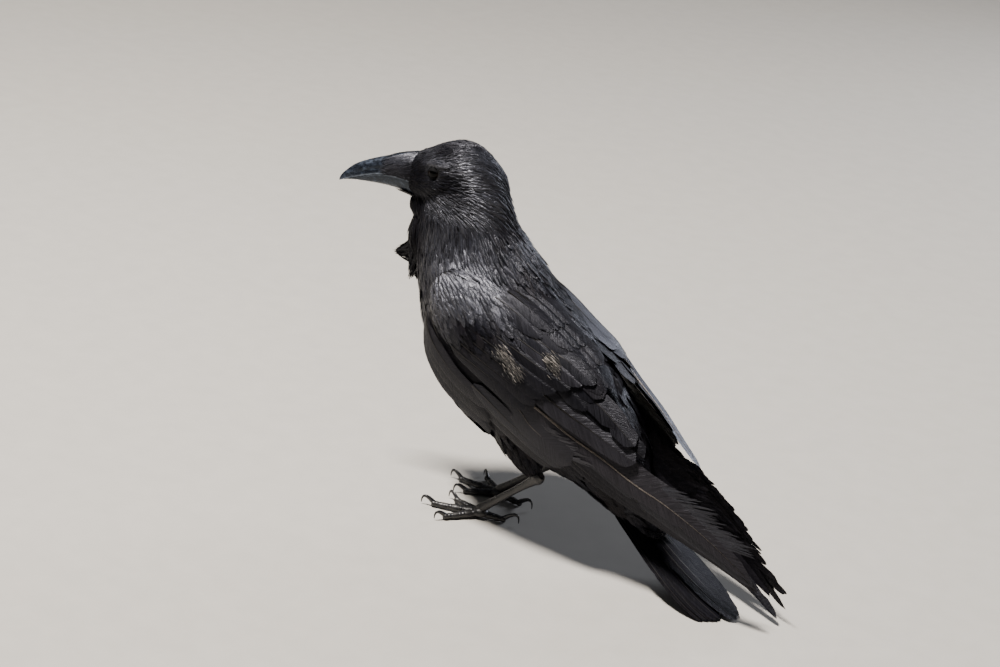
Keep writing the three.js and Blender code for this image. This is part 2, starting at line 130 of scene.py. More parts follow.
# bill: forward, ridge, cutting edge, half width
upperBillRows = [
    [43, 308.5, 283, 11], [56, 304.6, 284.6, 10], [68, 300.6, 284.4, 8.4], [80, 296, 282, 6.8],
    [91, 291.2, 278.2, 5.4], [100, 286.2, 274.8, 4.1], [107, 280.4, 272, 3], [112, 275, 269.6, 1.9],
    [114.2, 271, 268.4, 0.8],
]
lowerBillRows = [
    [43, 283, 268, 10], [56, 284.6, 271.2, 9.2], [68, 284.4, 272.4, 7.6], [80, 282, 272.6, 6],
    [91, 278.2, 272.2, 4.6], [100, 274.8, 271.7, 3.2], [107, 272, 270.6, 2], [110, 270.8, 269.8, 1],
]
# folded wing: x, distance from the middle plane, z of its lower and upper edges, and how far it swells
wingLow = [
    [-66, 50, 199], [-48, 63, 173], [-18, 67, 155], [24, 66, 139], [60, 62, 122],
    [98, 54, 100], [143, 47, 81], [191, 40, 65], [244, 33, 49], [297, 23, 25],
]
wingHigh = [
    [-55, 43, 229], [-20, 39, 233], [18, 36, 221], [58, 33, 200], [89, 33, 181],
    [117, 34, 160], [149, 37, 135], [186, 36, 113], [237, 29, 86], [299, 22, 42],
]
wingSwell = [[10], [15], [14], [12], [9], [6], [4], [3], [2], [0.5]]
# by side: degrees lifted about the wrist, mm tucked in at the tip
wingPose = {-1: (0.0, 0.0), 1: (-2.6, 6.0)}
# tail: x, z, shift to the side, half width as a share of 26 mm
tailRows = [
    [130, 52, 0, 0.64], [165, 35.5, -4, 0.82], [200, 20, -9, 0.98], [230, 8, -12, 1], [256, 0.4, -14, 0.92],
]
# left thigh: x, y, z, half depth, half width
thighRows = [
    [26, -31, 116, 25, 15], [32, -29, 98, 22.5, 15], [40, -26, 82, 19, 13.5], [47, -23, 69, 14.5, 11],
    [52, -22, 60, 9.5, 8],
]
legs = {
    "left": {"side": -1, "shift": 0, "ankle": (57, -22, 58), "foot": (4, -24), "yaw": -20},
    "right": {"side": 1, "shift": -7, "ankle": (50, 22, 58), "foot": (-6, 21), "yaw": 0},
}
# toe: degrees from the foot's own forward, length, claw length
toes = {"middle": (0, 45, 17), "inner": (33, 33, 16), "outer": (-36, 35, 15), "hind": (180, 24, 21)}
wrist = (-60.0, 199.0)          # x and z about which a wing turns
# mm: how far the coat curls in under the wing's lower edge, and goes in, back and up over its upper one
wingFold = {"under": 30.0, "underPower": 1.3, "overIn": 42.0, "overBack": 10.0, "overUp": 9.0,
            "swellOut": 0.8, "swellUp": 0.6}


# a place on a folded wing: s runs from the wrist to the tip, t from the lower edge to the upper one
def wingPoint(side, s, t):
    s, t = np.broadcast_arrays(np.asarray(s, float), np.asarray(t, float))
    low, high = along(wingLow, s), along(wingHigh, s)
    here = low + (high - low) * np.minimum(t, 1)[..., None]
    swell = np.where((t > 0) & (t < 1), along(wingSwell, s)[..., 0] * 4 * t * (1 - t), 0)
    over = np.maximum(t - 1, 0)
    under = low[..., 1] - wingFold["under"] * np.abs(t) ** wingFold["underPower"]
    lift, tuck = math.radians(wingPose[side][0]), wingPose[side][1]
    y = (np.where(t > 0, here[..., 1], under) + swell * wingFold["swellOut"]
         - tuck * ease(0.5, 1, s) - wingFold["overIn"] * over)
    # past its end the wing goes straight on
    ahead = (along(wingLow, 1) - along(wingLow, 0.95)) / 0.05 * np.maximum(s - 1, 0)[..., None]
    dx = here[..., 0] + ahead[..., 0] + wingFold["overBack"] * over - wrist[0]
    dz = here[..., 2] + ahead[..., 2] + swell * wingFold["swellUp"] + wingFold["overUp"] * over - wrist[1]
    c, sine = math.cos(lift), math.sin(lift)
    return np.stack([wrist[0] + dx * c - dz * sine, side * y, wrist[1] + dx * sine + dz * c], -1)


def wingOutward(side, s, t):
    s, t = np.clip(s, 0.02, 0.98), np.clip(t, -0.6, 1.6)
    lengthways = wingPoint(side, s + 0.01, t) - wingPoint(side, s - 0.01, t)
    crossways = wingPoint(side, s, t + 0.08) - wingPoint(side, s, t - 0.08)
    return unit(-side * np.cross(lengthways, crossways))


def addObject(name, data):
    made = bpy.data.objects.new(name, data)
    bpy.context.scene.collection.objects.link(made)
    return made


def makeSmooth(mesh):
    mesh.polygons.foreach_set("use_smooth", np.ones(len(mesh.polygons), bool))


# a mesh from arrays of corner numbers, each array for faces of one size
def makeMesh(name, points, faceSets, materials, faceMaterial=None):
    mesh = bpy.data.meshes.new(name)
    mesh.vertices.add(len(points))
    mesh.vertices.foreach_set("co", toFrame(points).astype(np.float32).ravel())
    corners = np.concatenate([f.ravel() for f in faceSets]).astype(np.int32)
    sizes = np.concatenate([np.full(len(f), f.shape[1], np.int32) for f in faceSets])
    mesh.loops.add(len(corners))
    mesh.loops.foreach_set("vertex_index", corners)
    mesh.polygons.add(len(sizes))
    mesh.polygons.foreach_set("loop_start", (np.cumsum(sizes) - sizes).astype(np.int32))
    for material in materials:
        mesh.materials.append(material)
    if faceMaterial is not None:
        mesh.polygons.foreach_set("material_index", np.asarray(faceMaterial, np.int32))
    mesh.update(calc_edges=True)
    makeSmooth(mesh)
    return addObject(name, mesh)


# one value of every point, corner or triangle of a mesh, as rows
def readRows(items, key, width, kind=np.float32):
    values = np.zeros(len(items) * width, kind)
    items.foreach_get(key, values)
    return values.reshape(-1, width)


def addMap(piece, name, uv):
    corners = readRows(piece.data.loops, "vertex_index", 1, np.int32)[:, 0]
    layer = piece.data.uv_layers.new(name=name)
    layer.data.foreach_set("uv", np.asarray(uv, np.float32)[corners].ravel())


# a closed body through rings of points, each end shut with a fan about its middle
def loftRings(rings):
    count, size = rings.shape[:2]
    points = np.concatenate([rings.reshape(-1, 3), rings[:1].mean(1), rings[-1:].mean(1)])
    grid = np.arange(count * size).reshape(count, size)
    turned = np.roll(grid, -1, 1)
    quads = np.stack([grid[:-1], turned[:-1], turned[1:], grid[1:]], -1).reshape(-1, 4)
    fans = np.concatenate([
        np.stack([np.full(size, count * size), turned[0], grid[0]], -1),
        np.stack([np.full(size, count * size + 1), grid[-1], turned[-1]], -1)])
    return outward(points, [quads, fans])


# place round and along for every point of such a body, each from 0 to 1
def loftPlaces(count, size, k=None):
    k = np.linspace(0, 1, count) if k is None else k
    return (np.concatenate([np.tile(np.arange(size) / size, count), [0.5, 0.5]]),
            np.concatenate([np.repeat(k, size), [0, 1]]))


def outward(points, faceSets):
    middle = points.mean(0)
    volume = 0.0
    for faces in faceSets:
        for n in range(1, faces.shape[1] - 1):
            a, b, c = points[faces[:, 0]], points[faces[:, n]], points[faces[:, n + 1]]
            volume += np.einsum("ij,ij->", a - middle, np.cross(b - middle, c - middle))
    return points, (faceSets if volume > 0 else [f[:, ::-1] for f in faceSets])


# a round limb along a path, its rings level along one direction across
def limbRings(path, wide, tall, across, size):
    path = np.asarray(path, float)
    ahead = np.concatenate([path[1:], path[-1:]])
    behind = np.concatenate([path[:1], path[:-1]])
    across = np.broadcast_to(np.asarray(across, float), path.shape)
    upward = unit(np.cross(unit(ahead - behind), across))
    angle = roundAngles(size)
    return (path[:, None] + across[:, None] * (np.cos(angle)[None, :, None] * np.asarray(wide)[:, None, None])
            + upward[:, None] * (np.sin(angle)[None, :, None] * np.asarray(tall)[:, None, None]))


# joins closed bodies into one list of points and faces
def gather(bodies):
    points, faceSets, start = [], [], 0
    for body, faces in bodies:
        points.append(body)
        faceSets += [f + start for f in faces]
        start += len(body)
    return np.concatenate(points), faceSets


# the evaluated mesh of a helper object, which goes
def settle(base, name):
    mesh = bpy.data.meshes.new_from_object(base.evaluated_get(bpy.context.evaluated_depsgraph_get()))
    bpy.data.objects.remove(base)
    return addObject(name, mesh)


# one smooth closed surface over several bodies that cross
def oneSurface(name, bodies, material, voxel, iterations):
    base = makeMesh(name + "Base", *gather(bodies), [material])
    remesh = base.modifiers.new("oneSurface", "REMESH")
    remesh.mode, remesh.voxel_size = "VOXEL", voxel / 1000
    soften = base.modifiers.new("soften", "SMOOTH")
    soften.factor, soften.iterations = 0.5, iterations
    piece = settle(base, name)
    piece.data.materials.clear()
    piece.data.materials.append(material)
    makeSmooth(piece.data)
    return piece


def unwrap(piece, steepest, margin):
    bpy.ops.object.select_all(action="DESELECT")
    bpy.context.view_layer.objects.active = piece
    piece.select_set(True)
    bpy.ops.object.mode_set(mode="EDIT")
    bpy.ops.mesh.select_all(action="SELECT")
    bpy.ops.uv.smart_project(angle_limit=math.radians(steepest), island_margin=margin)
    bpy.ops.object.mode_set(mode="OBJECT")
    piece.select_set(False)
    piece.data.uv_layers.active.name = "OFBake"


# sRGB hex to the linear colour that the shaders take
def linear(hexColour):
    channels = [int(hexColour[i:i + 2], 16) / 255 for i in (1, 3, 5)]
    return tuple(c / 12.92 if c <= 0.04045 else ((c + 0.055) / 1.055) ** 2.4 for c in channels) + (1.0,)


# adds a node; the stops of a colour ramp are (place, hex colour or level), and a link takes a socket or
# a node, which gives its first output
def node(tree, kind, settings=None, inputs=None, links=None):
    made = tree.nodes.new(kind)
    for key, value in (settings or {}).items():
        if key == "stops":
            setStops(made.color_ramp, value)
        else:
            setattr(made, key, value)
    for key, value in (inputs or {}).items():
        made.inputs[key].default_value = value
    connect(tree, made, links or {})
    return made


def setStops(band, stops):
    while len(band.elements) < len(stops):
        band.elements.new(0.5)
    for element, (place, colour) in zip(band.elements, stops):
        element.position = place
        element.color = linear(colour) if isinstance(colour, str) else (colour, colour, colour, 1)


def connect(tree, target, links):
    for key, source in links.items():
        socket = source if isinstance(source, bpy.types.NodeSocket) else source.outputs[0]
        tree.links.new(socket, target.inputs[key])


def newMaterial(name, sockets):
    material = bpy.data.materials.new(name)
    material.use_nodes = True
    tree = material.node_tree
    shader = next(n for n in tree.nodes if n.type == "BSDF_PRINCIPLED")
    for key, value in sockets.items():
        shader.inputs[key].default_value = value
    return material, tree, shader


# A finish that follows one grain of noise: its scale and detail, colours, and where given its roughness and
# its relief as strength and depth. With a stretch the grain runs along the piece's own map.
def grainyMaterial(name, sockets, grain, colours, rough=None, relief=None, stretch=None):
    material, tree, shader = newMaterial(name, sockets)
    if stretch:
        ownMap = node(tree, "ShaderNodeUVMap", {"uv_map": "OFBake"})
        place = node(tree, "ShaderNodeMapping", inputs={"Scale": stretch}, links={"Vector": ownMap})
    else:
        place = node(tree, "ShaderNodeTexCoord").outputs["Object"]
    scale, detail = grain
    noise = node(tree, "ShaderNodeTexNoise", inputs={"Scale": scale, "Detail": detail},
                 links={"Vector": place})
    tint = node(tree, "ShaderNodeValToRGB", {"stops": colours}, links={0: noise})
    connect(tree, shader, {"Base Color": tint})
    if rough:
        gloss = node(tree, "ShaderNodeValToRGB", {"stops": rough}, links={0: noise})
        connect(tree, shader, {"Roughness": gloss})
    if relief:
        strength, depth = relief
        bump = node(tree, "ShaderNodeBump", inputs={"Strength": strength, "Distance": depth},
                    links={"Height": noise})
        connect(tree, shader, {"Normal": bump})
    return material


# Feather keratin with melanin: near black, and the barbs' thin film gives a faint blue-violet gloss. Its map
# "Vane" holds mm across and along each feather; "Look" holds chance, wear, painted sheen and share of length.
def featherMaterial(name, settings):
    lowest, highest = settings["level"]
    # the gloss of each feather differs; the socket's own value stands between them
    material, tree, shader = newMaterial(name, {
        "Specular IOR Level": lowest * 0.75 + highest * 0.25, "IOR": 1.55,
        "Specular Tint": linear("#eef0ff")})
    parts = node(tree, "ShaderNodeSeparateXYZ", links={0: node(tree, "ShaderNodeUVMap", {"uv_map": "Vane"})})
    look = node(tree, "ShaderNodeAttribute", {"attribute_name": "Look"})
    chanceValue, wear, glossAndPaintedSheen = node(tree, "ShaderNodeSeparateColor", links={0: look}).outputs
    # barbs leave the shaft at a slant, so a streak keeps one value of this along a barb
    aside = node(tree, "ShaderNodeMath", {"operation": "ABSOLUTE"}, links={0: parts.outputs["X"]})
    slant = node(tree, "ShaderNodeMath", {"operation": "MULTIPLY"}, {1: settings["barbSlant"]}, {0: aside})
    barb = node(tree, "ShaderNodeMath", {"operation": "SUBTRACT"}, links={0: parts.outputs["Y"], 1: slant})
    offset = node(tree, "ShaderNodeMath", {"operation": "MULTIPLY"}, {1: 61.0}, {0: chanceValue})
    number, reach = (
        node(tree, "ShaderNodeMath", {"operation": "MULTIPLY"}, {1: 1 / settings[key]}, {0: source})
        for key, source in (("barbWidth", barb), ("barbLength", aside)))
    place = node(tree, "ShaderNodeCombineXYZ", links={0: number, 1: reach, 2: offset})
    streaks = node(tree, "ShaderNodeTexNoise", {"noise_dimensions": "3D"},
                   {"Scale": 1.0, "Detail": 3.0, "Roughness": 0.6}, {"Vector": place})
    # colour: each feather its own depth of black, browner where worn, and a painted sheen of light blue-grey
    # (the ramp loose) where light catches the coat
    base, brown, loose = (node(tree, "ShaderNodeValToRGB", {"stops": settings[key]}, links={0: streaks})
                          for key in ("black", "worn", "loose"))
    browned = node(tree, "ShaderNodeMix", {"data_type": "RGBA"}, links={"Factor": wear, 6: base, 7: brown})
    withPaintedSheen = node(tree, "ShaderNodeMix", {"data_type": "RGBA"},
                  links={"Factor": glossAndPaintedSheen, 6: browned.outputs[2], 7: loose})
    depth = node(tree, "ShaderNodeMapRange", inputs={"To Min": 0.55, "To Max": 1.4},
                 links={"Value": chanceValue})
    tinted = node(tree, "ShaderNodeMix", {"data_type": "RGBA", "blend_type": "MULTIPLY"}, {"Factor": 1.0},
                  {6: withPaintedSheen.outputs[2], 7: depth})
    gloss = node(tree, "ShaderNodeMapRange", inputs={
        "From Min": 0.3, "From Max": 0.7, "To Min": settings["rough"][0], "To Max": settings["rough"][1]},
        links={"Value": streaks})
    # the painted sheen also raises the gloss
    hooked = node(tree, "ShaderNodeMapRange", inputs={"To Min": lowest, "To Max": highest},
                  links={"Value": glossAndPaintedSheen})
    bump = node(tree, "ShaderNodeBump", inputs={"Strength": settings["bump"], "Distance": 0.0006},
                links={"Height": streaks})
    connect(tree, shader, {"Base Color": tinted.outputs[2], "Roughness": gloss,
                           "Specular IOR Level": hooked, "Normal": bump})
    return material


# the "loose" colours of each finish are its painted sheen, a light blue-grey
# barbs are 0.3 to 0.5 mm apart in life; they are drawn 0.7 to 1.2 mm wide, as locks of two or three, to show
bodyFeather = featherMaterial("contour feather keratin", {
    "barbSlant": 1.9, "barbWidth": 0.8, "barbLength": 9.0, "black": [(0.3, "#050506"), (0.7, "#121219")],
    "worn": [(0.3, "#120e0c"), (0.72, "#332b26")], "loose": [(0.35, "#050506"), (0.75, "#3f414b")],
    "rough": (0.22, 0.5), "bump": 0.8, "level": (0.06, 0.9)})
wingFeather = featherMaterial("flight feather keratin", {
    "barbSlant": 1.3, "barbWidth": 0.7, "barbLength": 16.0, "black": [(0.3, "#050507"), (0.7, "#111117")],
    "worn": [(0.3, "#110f0f"), (0.72, "#2d2828")], "loose": [(0.35, "#050507"), (0.75, "#2c2e38")],
    "rough": (0.28, 0.52), "bump": 0.7, "level": (0.09, 0.85)})


# Rachis keratin: a smooth round shaft, brown-black and glossy; a worn one is bleached pale towards its root.
def rachisMaterial():
    material, tree, shader = newMaterial("rachis keratin", {
        "Roughness": 0.36, "IOR": 1.54, "Specular IOR Level": 0.4})
    coords = node(tree, "ShaderNodeTexCoord")
    speckle = node(tree, "ShaderNodeTexNoise", inputs={"Scale": 900.0, "Detail": 2.0},
                   links={"Vector": coords.outputs["Object"]})
    look = node(tree, "ShaderNodeAttribute", {"attribute_name": "Look"})
    wear = node(tree, "ShaderNodeSeparateColor", links={0: look}).outputs[1]
    bleach = node(tree, "ShaderNodeMapRange", inputs={"From Min": 0.45, "From Max": 0.62},
                  links={"Value": wear})
    fromTip = node(tree, "ShaderNodeMapRange", inputs={
        "From Min": 0.6, "From Max": 0.95, "To Min": 1.0, "To Max": 0.1},
        links={"Value": look.outputs["Alpha"]})
    paler = node(tree, "ShaderNodeMath", {"operation": "MULTIPLY"}, links={0: bleach, 1: fromTip})
    fresh, faded = (node(tree, "ShaderNodeValToRGB", {"stops": stops}, links={0: speckle}) for stops in (
        [(0.35, "#0d0c0c"), (0.7, "#1d1a19")], [(0.35, "#5a534d"), (0.7, "#a0968d")]))
    blend = node(tree, "ShaderNodeMix", {"data_type": "RGBA"}, links={"Factor": paler, 6: fresh, 7: faded})
    connect(tree, shader, {"Base Color": blend.outputs[2]})
    return material


# Down: loose barbs without hooks, pale brown-grey and quite matt, as they scatter the light.
def downMaterial():
    material, tree, shader = newMaterial("down keratin", {
        "Roughness": 0.8, "IOR": 1.5, "Sheen Weight": 0.3, "Sheen Roughness": 0.5})
    look = node(tree, "ShaderNodeAttribute", {"attribute_name": "Look"})
    chanceValue = node(tree, "ShaderNodeSeparateColor", links={0: look})
    shades = node(tree, "ShaderNodeValToRGB", {"stops": [
        (0.0, "#0b0a0a"), (0.5, "#211e1c"), (0.82, "#544e48"), (1.0, "#aba59e")]}, links={0: chanceValue})
    connect(tree, shader, {"Base Color": shades})
    return material


shaftHorn = rachisMaterial()
downBarb = downMaterial()
# Skin under the coat: dark grey, matt, with fine pores at 1.5 mm.
coatSkin = grainyMaterial("raven skin under the coat", {"Roughness": 0.7, "IOR": 1.4}, (650.0, 3.0),
                          [(0.3, "#060607"), (0.7, "#121216")], relief=(0.4, 0.0004))
print("materials for the coat made")

# the skin lies this far inside the solids, for the coat to fill
skin = {"spineDepth": 5.0, "headDepth": 2.6, "wingDepth": 4.5, "thighDepth": 3.5, "voxel": 1.9,
        "smoothing": 7,
        # the pad under the wing's coverts: its thickness, and how it thins towards its rim and rear
        "padThick": 13.0, "padRim": 3.0, "padRear": 5.0, "padRearFrom": (0.3, 0.47)}
hacklePad = {"middle": (-101.5, -9, 235), "radii": (9.5, 14, 24)}
chinPad = {"middle": fromHead(33, 0, 262), "radii": (15, 12, 12)}


def spineRings(shrink):
    k = np.linspace(0.0, 0.995, 60)
    rows = along(spineRows, k)
    ahead, behind = along(spineRows, k + 0.01), along(spineRows, k - 0.01)
    direction = unit(ahead[:, :2] - behind[:, :2])
    up = np.stack([-direction[:, 1], direction[:, 0]], -1)
    angle = roundAngles(64)
    reach = np.where(np.cos(angle) > 0, rows[:, 2:3], rows[:, 3:4])
    shrink = np.minimum(shrink, 0.6 * np.minimum(rows[:, 2:3], rows[:, 4:5]))
    lift = np.cos(angle) * (reach - shrink)
    wide = np.sin(angle) * (rows[:, 4:5] - shrink)
    return np.stack([rows[:, :1] + up[:, :1] * lift, wide, rows[:, 1:2] + up[:, 1:] * lift], -1)


def headRings(shrink):
    rows = along(headRows, np.linspace(0.0, 1.0, 44))
    angle = roundAngles(56)
    middle = (rows[:, 1:2] + rows[:, 2:3]) / 2
    reach = np.maximum((rows[:, 1:2] - rows[:, 2:3]) / 2 - shrink, 2)
    wide = np.maximum(rows[:, 3:4] - shrink, 2)
    return fromHead(rows[:, :1], np.sin(angle) * wide, middle + np.cos(angle) * reach)


# the shoulder under its coverts, a pad that thins towards its rim and its rear
def wingPad(side, depth):
    s, t = np.meshgrid(np.linspace(0.03, 0.47, 40), np.linspace(0.05, 0.95, 30), indexing="ij")
    out = wingOutward(side, s, t)
    edge = np.minimum(1, np.minimum(t, 1 - t) * 6)[..., None]
    rear = ease(*skin["padRearFrom"], s)[..., None]
    top = wingPoint(side, s, t) - out * (depth + skin["padRim"] * (1 - edge) + skin["padRear"] * rear)
    under = wingPoint(side, s, t) - out * (depth + skin["padThick"])
    grid = np.arange(s.size).reshape(s.shape)
    upper = np.stack([grid[:-1, :-1], grid[:-1, 1:], grid[1:, 1:], grid[1:, :-1]], -1).reshape(-1, 4)
    lower = upper[:, ::-1] + s.size
    rim = np.concatenate([grid[0], grid[1:, -1], grid[-1, -2::-1], grid[-2:0:-1, 0]])
    turned = np.roll(rim, -1)
    walls = np.stack([turned, rim, rim + s.size, turned + s.size], -1)
    points = np.concatenate([top.reshape(-1, 3), under.reshape(-1, 3)])
    return outward(points, [np.concatenate([upper, lower, walls])])


def thighBody(leg, shrink):
    rows = along(thighRows, np.linspace(0, 1, 24))
    angle = roundAngles(40)
    x = rows[:, :1] + leg["shift"] + np.cos(angle) * (rows[:, 3:4] - shrink)
    y = -leg["side"] * rows[:, 1:2] + np.sin(angle) * (rows[:, 4:5] - shrink)
    z = rows[:, 2:3] + 0.35 * np.cos(angle) * rows[:, 3:4]
    return loftRings(np.stack([x, y, z], -1))


def roundBody(middle, radii, around=32, down=20):
    a, b = roundAngles(around), (np.arange(down) + 0.5) / down * math.pi
    rings = np.stack([np.sin(b)[:, None] * np.cos(a), np.sin(b)[:, None] * np.sin(a),
                      np.broadcast_to(np.cos(b)[:, None], (down, around))], -1)
    return loftRings(rings * np.asarray(radii, float) + np.asarray(middle, float))


bodies = [loftRings(spineRings(skin["spineDepth"])), loftRings(headRings(skin["headDepth"]))]
bodies += [wingPad(side, skin["wingDepth"]) for side in (-1, 1)]
bodies += [thighBody(leg, skin["thighDepth"]) for leg in legs.values()]
bodies += [roundBody(pad["middle"], pad["radii"]) for pad in (hacklePad, chinPad)]
skinPiece = oneSurface("skin", bodies, coatSkin, skin["voxel"], skin["smoothing"])
skinMesh = skinPiece.data
skinPoints = readRows(skinMesh.vertices, "co", 3).astype(float) * 1000 - shift
print("skin", len(skinPoints), "points")

# the face's own forms on the skin: (forward, sideways, height), radius, mm out or in
faceForms = [
    # brow
    ((31, 22, 305.5), 6, 3.8), ((22, 25, 304.5), 6, 3.8), ((14, 27, 301), 6, 1.6), ((38, 17, 303.5), 6, 2.0),
    ((25, 24, 296.5), 7, -2.4),                                     # eye socket
    ((36, 18, 295), 7, -1.0),                                       # lores
    ((6, 27, 284), 13, 1.0), ((24, 22, 281), 9, 0.8),               # ear coverts and cheek
    ((10, 4, 325), 20, 1.6), ((-8, 4, 322), 20, 1.6),               # crown
]
for (forward, aside, height), radius, out in faceForms:
    for sign in (-1, 1):
        place = fromHead(forward, sign * aside, height)
        middle = fromHead(forward, 0, height - 4)
        fade = np.exp(-((skinPoints - place) ** 2).sum(1) / (0.5 * radius ** 2))
        skinPoints += unit(place - middle) * out * fade[:, None]
skinMesh.vertices.foreach_set("co", toFrame(skinPoints).astype(np.float32).ravel())
skinMesh.update()
unwrap(skinPiece, 72, 0.002)
skinMesh.calc_loop_triangles()
triangles = readRows(skinMesh.loop_triangles, "vertices", 3, np.int32)
triangleLoops = readRows(skinMesh.loop_triangles, "loops", 3, np.int32)
skinUv = readRows(skinMesh.uv_layers["OFBake"].data, "uv", 2)
skinNormals = readRows(skinMesh.vertex_normals, "vector", 3).astype(float)
skinTree = BVHTree.FromPolygons([tuple(p) for p in skinPoints], [tuple(t) for t in triangles])
print("skin unwrapped", len(triangles), "triangles")


# nearest places on the skin: point, smooth normal and place on the skin's unwrap
def onSkin(points):
    hits = [skinTree.find_nearest(Vector(point)) for point in points]
    found = np.array([hit[0] for hit in hits], float)
    index = np.array([hit[2] for hit in hits])
    a, b, c = (skinPoints[triangles[index, n]] for n in range(3))
    ab, ac, ap = b - a, c - a, found - a
    d00, d01, d11 = (ab * ab).sum(1), (ab * ac).sum(1), (ac * ac).sum(1)
    d20, d21 = (ap * ab).sum(1), (ap * ac).sum(1)
    low = np.maximum(d00 * d11 - d01 * d01, 1e-12)
    v = (d11 * d20 - d01 * d21) / low
    w = (d00 * d21 - d01 * d20) / low
    shares = np.clip(np.stack([1 - v - w, v, w], -1), 0, 1)
    shares /= shares.sum(1, keepdims=True)
    normal = unit((skinNormals[triangles[index]] * shares[..., None]).sum(1))
    uv = (skinUv[triangleLoops[index]] * shares[..., None]).sum(1)
    return found, normal, uv


spineLine = along(spineRows, np.linspace(0, 1, 160))[:, :2]
spineHeading = unit(np.gradient(spineLine, axis=0))
billMiddle = fromHead(47, 0, 287)
downThigh = np.array([0.35, 0, -0.94])
# mm over which one lie of the coat passes into another
lieBands = {"headHeight": (246, 276), "thighHeight": (106, 84), "thighRear": (75, 60), "thighFront": (0, 12)}


# the lie of the coat: away from the bill over the head, along the spine over neck and trunk, down the thighs
def lieOfCoat(points, normals):
    gap = ((points[:, None, ::2] - spineLine[None]) ** 2).sum(-1)
    heading = spineHeading[gap.argmin(1)]
    trunk = np.stack([heading[:, 0], np.zeros(len(points)), heading[:, 1]], -1)
    headShare = ease(*lieBands["headHeight"], points[:, 2])[:, None]
    lie = trunk * (1 - headShare) + unit(points - billMiddle) * headShare
    thighShare = (ease(*lieBands["thighHeight"], points[:, 2]) * ease(*lieBands["thighRear"], points[:, 0])
                  * ease(*lieBands["thighFront"], points[:, 0]))
    lie = lie * (1 - thighShare[:, None]) + downThigh * thighShare[:, None]
    return squareTo(lie, normals)


# a place on the head as it would be with the head straight
def headPlace(forward, aside, height):
    return (head["pivot"][0] - forward, aside, height)


# How the coat grows, at named places: (x, |y|, z), then length, half width, spacing, stand, wear, painted
# sheen.
coatPlaces = {
    "lores": (headPlace(40, 13, 292), 4.5, 0.7, 1.05, 0.8, 0.0, 0.0),
    "forehead": (headPlace(40, 0, 309), 6.0, 0.8, 1.2, 0.9, 0.0, 0.2),
    "crown": (headPlace(10, 0, 322), 9.5, 1.1, 1.6, 1.1, 0.0, 0.22),
    "brow": (headPlace(27, 20, 306), 6.5, 0.8, 1.1, 1.3, 0.0, 1.0),
    "aboveBrow": (headPlace(24, 13, 316), 7.5, 0.9, 1.35, 1.0, 0.0, 0.0),
    "crownSide": (headPlace(-2, 19, 314), 10.5, 1.1, 1.6, 1.2, 0.0, 0.9),
    "eyeRing": (headPlace(25, 23, 297), 3.4, 0.6, 0.9, 0.5, 0.0, 0.0),
    "ear": (headPlace(11, 27, 293), 8.5, 1.0, 1.5, 1.2, 0.0, 0.0),
    "earLow": (headPlace(17, 27, 286), 8.5, 1.0, 1.5, 1.2, 0.0, 0.0),
    "earRear": (headPlace(3, 28, 288), 9.5, 1.0, 1.5, 1.2, 0.0, 0.05),
    "behindEar": (headPlace(-8, 26, 296), 11.0, 1.1, 1.6, 1.2, 0.0, 0.85),
    "cheek": (headPlace(14, 25, 276), 10.0, 1.1, 1.6, 1.2, 0.0, 0.4),
    "malar": (headPlace(32, 19, 276), 8.0, 0.9, 1.3, 1.1, 0.0, 0.2),
    "chin": (headPlace(38, 3, 266), 9.0, 0.9, 1.4, 1.3, 0.0, 0.0),
    "nape": ((-36, 0, 292), 15.0, 1.5, 2.0, 1.8, 0.15, 0.15),
    "napeSide": ((-50, 30, 278), 14.0, 1.3, 1.8, 1.6, 0.1, 0.75),
    "hindCollar": ((-32, 14, 268), 18.0, 1.6, 2.1, 2.0, 0.2, 0.1),
    "throat": ((-108, 5, 245), 20.0, 1.5, 2.4, 2.2, 0.1, 0.0),
    "throatSide": ((-101, 26, 238), 19.0, 1.4, 2.2, 1.8, 0.1, 0.0),
    "neckSide": ((-72, 36, 248), 17.0, 1.4, 2.0, 2.0, 0.0, 0.6),
    "neckBase": ((-58, 40, 226), 19.0, 1.8, 2.2, 2.2, 0.0, 0.95),
    "collarShade": ((-66, 44, 212), 18.0, 2.0, 2.5, 1.4, 0.0, 0.1),
    "hindNeck": ((-15, 6, 252), 20.0, 1.9, 2.4, 2.2, 0.1, 0.6),
    "mantle": ((12, 12, 230), 24.0, 3.2, 3.3, 1.9, 0.1, 0.12),
    "back": ((55, 15, 195), 27.0, 5.0, 4.3, 1.8, 0.1, 0.45),
    "rump": ((115, 10, 130), 32.0, 7.5, 5.6, 2.4, 0.1, 0.1),
    "upperTail": ((150, 5, 80), 34.0, 7.0, 5.6, 1.6, 0.1, 0.1),
    "breast": ((-112, 10, 205), 24.0, 4.6, 4.2, 2.4, 0.0, 0.15),
    "breastSide": ((-80, 48, 165), 26.0, 5.4, 4.5, 2.6, 0.0, 0.05),
    "belly": ((-40, 10, 95), 30.0, 7.5, 5.6, 2.4, 0.05, 0.0),
    "flank": ((10, 52, 112), 32.0, 7.5, 5.6, 2.2, 0.05, 0.0),
    "vent": ((105, 12, 58), 34.0, 7.0, 5.6, 2.0, 0.05, 0.0),
    "thigh": ((34, 36, 88), 17.0, 3.0, 3.1, 1.5, 0.1, 0.0),
    "ankle": ((48, 26, 64), 8.0, 1.6, 1.9, 0.9, 0.1, 0.0),
    "wrist": ((-52, 60, 195), 12.0, 2.4, 2.5, 0.9, 0.05, 0.45),
    "lesserCoverts": ((-10, 60, 190), 17.0, 3.6, 3.4, 1.0, 0.05, 0.02),
    "shoulderTop": ((-22, 52, 222), 18.0, 2.6, 2.8, 1.2, 0.1, 1.6),
    "shoulderFront": ((-48, 52, 214), 15.0, 2.2, 2.5, 1.1, 0.1, 0.9),
    "wingMiddle": ((45, 56, 165), 24.0, 5.0, 4.4, 1.0, 0.05, 0.02),
    "wingUpper": ((62, 40, 188), 26.0, 4.6, 4.2, 1.3, 0.05, 0.2),
}
placePoints = np.array([row[0] for row in coatPlaces.values()], float)
placeValues = np.array([row[1:] for row in coatPlaces.values()], float)
